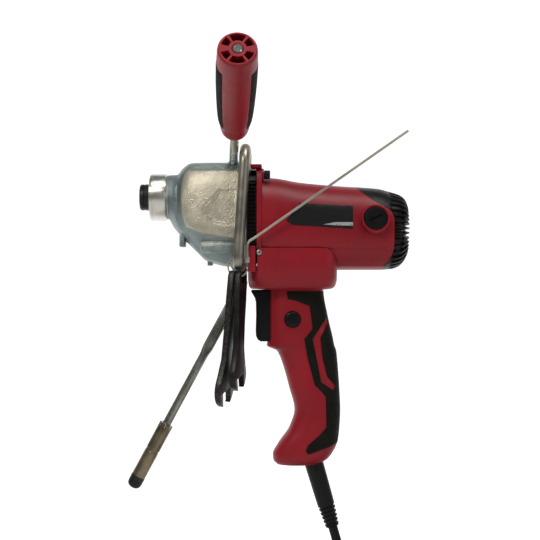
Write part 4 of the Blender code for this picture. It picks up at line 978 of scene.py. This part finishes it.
def cable_tie():
    points = []
    for i in range(57):
        angle = math.radians(-320 + 340 * i / 56)
        points.append(TIE_CENTRE + Vector((TIE_R * math.cos(angle), 0, TIE_R * math.sin(angle))))
    loop = ribbon("loop", points, 1.2, 0.7, Vector((0, 1, 0)), "nylon")
    head = block((-50.0, -45.6), (-36.6, -32.4), (98.0, 103.0))
    head = round_edges(add("head", head, "nylon"), 0.6)
    start, end = Vector((-47.2, -35.0, 101.0)), Vector((92.5, -60.0, 212.6))
    tail = [start, Vector((-47.9, -35.4, 108.5)), Vector((-46.8, -38.0, 116.2))]
    tail += [tail[-1].lerp(end, share) for share in (0.05, 0.12, 0.3, 0.55, 0.8, 1.0)]
    tail = ribbon("tail", smooth_line(tail, 60), 1.15, 0.95, Vector((-0.62, 0, 0.78)), "nylon")
    finish(join("cable_tie_fine", [loop, head, tail]), "bail_loop", "cable_tie")


def spanner(name, node, body, hole_x, lean_deg, length, jaw, head_r, turn_deg=20.0):
    half, thick = 9.0, 5.0
    points = [(-half + 5.5, 6.0), (-half + 2.0, 5.2), (-half, 1.8), (-half, -20), (-half + 1.5, -40),
              (-half + 1.5, -length + 2 * head_r + 10)]
    tilt = math.radians(15)
    for i in range(45):
        a = math.radians(150 + 240 * i / 44)
        if abs(math.degrees(a) - 270) > 33:
            points.append((head_r * math.cos(a), -length + head_r + head_r * math.sin(a)))
        elif abs(math.degrees(a) - 270) < 2.6:
            for side in (-1, 1):
                for depth in ((-head_r * 0.86, -1.5) if side < 0 else (-1.5, -head_r * 0.86)):
                    u, w = side * jaw / 2, depth
                    u, w = u * math.cos(tilt) - w * math.sin(tilt), u * math.sin(tilt) + w * math.cos(tilt)
                    points.append((u, -length + head_r + w))
    points += [(half - 1.5, -length + 2 * head_r + 10), (half - 1.5, -40), (half, -20), (half, 1.8),
               (half - 2.0, 5.2), (half - 5.5, 6.0)]
    points = list(dict.fromkeys(points))
    normal = Vector((math.cos(math.radians(turn_deg)), -math.sin(math.radians(turn_deg)), 0))
    across = Vector((math.sin(math.radians(turn_deg)), math.cos(math.radians(turn_deg)), 0))
    down = Vector((0, 0, 1))
    lean = Matrix.Rotation(math.radians(lean_deg), 3, across)
    normal, down = lean @ normal, lean @ down
    z = TIE_CENTRE.z - math.sqrt(TIE_R ** 2 - (hole_x - TIE_CENTRE.x) ** 2) - 1.3
    hole = Vector((hole_x, TIE_CENTRE.y, z))
    rings = [[hole + across * u + down * w + normal * depth for u, w in points]
             for depth in (-thick / 2, thick / 2)]
    made = add(name, loft(rings), "black_steel")
    combine(made, [add("hole", rod(5.0, hole - normal * 10, normal, 20, 40), "black_steel")])
    finish(round_edges(made, 0.6, 2, 40), body, node)


def prop():
    px, pz = PROP_PIVOT
    down = Vector((-math.sin(PROP_LEAN), 0, -math.cos(PROP_LEAN)))
    side = Vector((0, 1, 0)).cross(down)
    pivot = Vector((px, PROP_Y, pz))
    stations = [(-4.2, 2.2, 2.3, 3), (-2.6, 3.8, 2.6, 4), (0, 4.5, 2.6, 4), (8, 4.9, 2.6, 4),
                (66, 4.9, 2.8, 4), (76, 3.95, 3.95, 2), (211, 3.95, 3.95, 2)]
    rings = []
    for along, half_width, half_y, power in smooth_stations(stations, 2.0):
        rings.append([pivot + down * along + side * a + Vector((0, b, 0))
                      for a, b in even_oval(40, half_width, half_y, power)])
    made = add("prop_rod_fine", loft(rings), "rod")
    combine(made, [add("eye", rod(2.6, (px, -10, pz), (0, 1, 0), 40, 32), "rod")])
    finish(made, "prop_leg", "prop_rod")
    n = PROP_LENGTH
    profile = [(n - 67, 4.25), (n - 67, 5.6), (n - 66.3, 6.3), (n - 65, 6.45), (n - 40.5, 6.45), (n - 40, 6.1),
               (n - 38, 6.1), (n - 37.5, 6.45), (n - 5, 6.45), (n - 2.8, 5.9), (n - 1.2, 4.6), (n - 0.3, 2.8),
               (n, 0), (n - 2.6, 0), (n - 2.6, 4.25)]
    sleeve = add("sleeve", turned(profile, pivot, down, 56, True), "sleeve")
    cap = [(n - 12, 6.3), (n - 12, 6.6), (n - 5, 6.6), (n - 2.8, 6.05), (n - 1.2, 4.8), (n - 0.2, 2.9),
           (n + 0.1, 0), (n - 0.6, 0), (n - 5.6, 6.3)]
    tip = add("tip", turned(cap, pivot, down, 56, True), "black_steel")
    collar = [(n - 67.1, 4.25), (n - 67.1, 5.8), (n - 66.4, 6.5), (n - 63, 6.55), (n - 62.6, 6.3),
              (n - 62.6, 4.25)]
    bright = add("bright", turned(collar, pivot, down, 8, True), "turned")
    sleeve = join("prop_sleeve_fine", [sleeve, tip, bright])
    finish(sleeve, "prop_leg", "prop_sleeve")
    profile = [(-2.6, 0), (-2.6, 3.4), (-1.8, 4.1), (-1.0, 4.3), (1.5, 4.3), (1.5, 2.3), (14.5, 2.3),
               (14.5, 4.0), (16.6, 4.0), (17.0, 3.6), (17.0, 0)]
    bolt = add("prop_bolt_fine", turned(profile, (px, 0, pz), (0, 1, 0), 48), "black_steel")
    finish(bolt, "machine", "prop_bolt")


INSIDE = {"copper": ("commutator", "field_coil_upper", "field_coil_lower"),
          "graphite": ("carbon_brush_left", "carbon_brush_right"),
          "black": ("cooling_fan", "switch_body", "cord_clamp"),
          "cast": ("gear_plate",)}


def inner_parts():
    """The CAD nodes that stay get their finish here."""
    chosen = {node: look for look, nodes in INSIDE.items() for node in nodes}
    for name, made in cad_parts.items():
        if made.hide_render:
            continue
        look = LOOK[chosen.get(name, "steel")]
        if not made.data.materials:
            made.data.materials.append(look)
        for k in range(len(made.data.materials)):
            made.data.materials[k] = look


stage()
cord()
gear_housing()
motor()
label_plate()
handle()
screws()
side_handle()
bail()
cable_tie()
spanner("spanner_large_fine", "spanner_large", "large_spanner", -59.3, 5.5, 116.0, 17.0, 16.5)
spanner("spanner_small_fine", "spanner_small", "small_spanner", -53.4, 2.0, 101.0, 14.0, 14.5)
prop()
inner_parts()
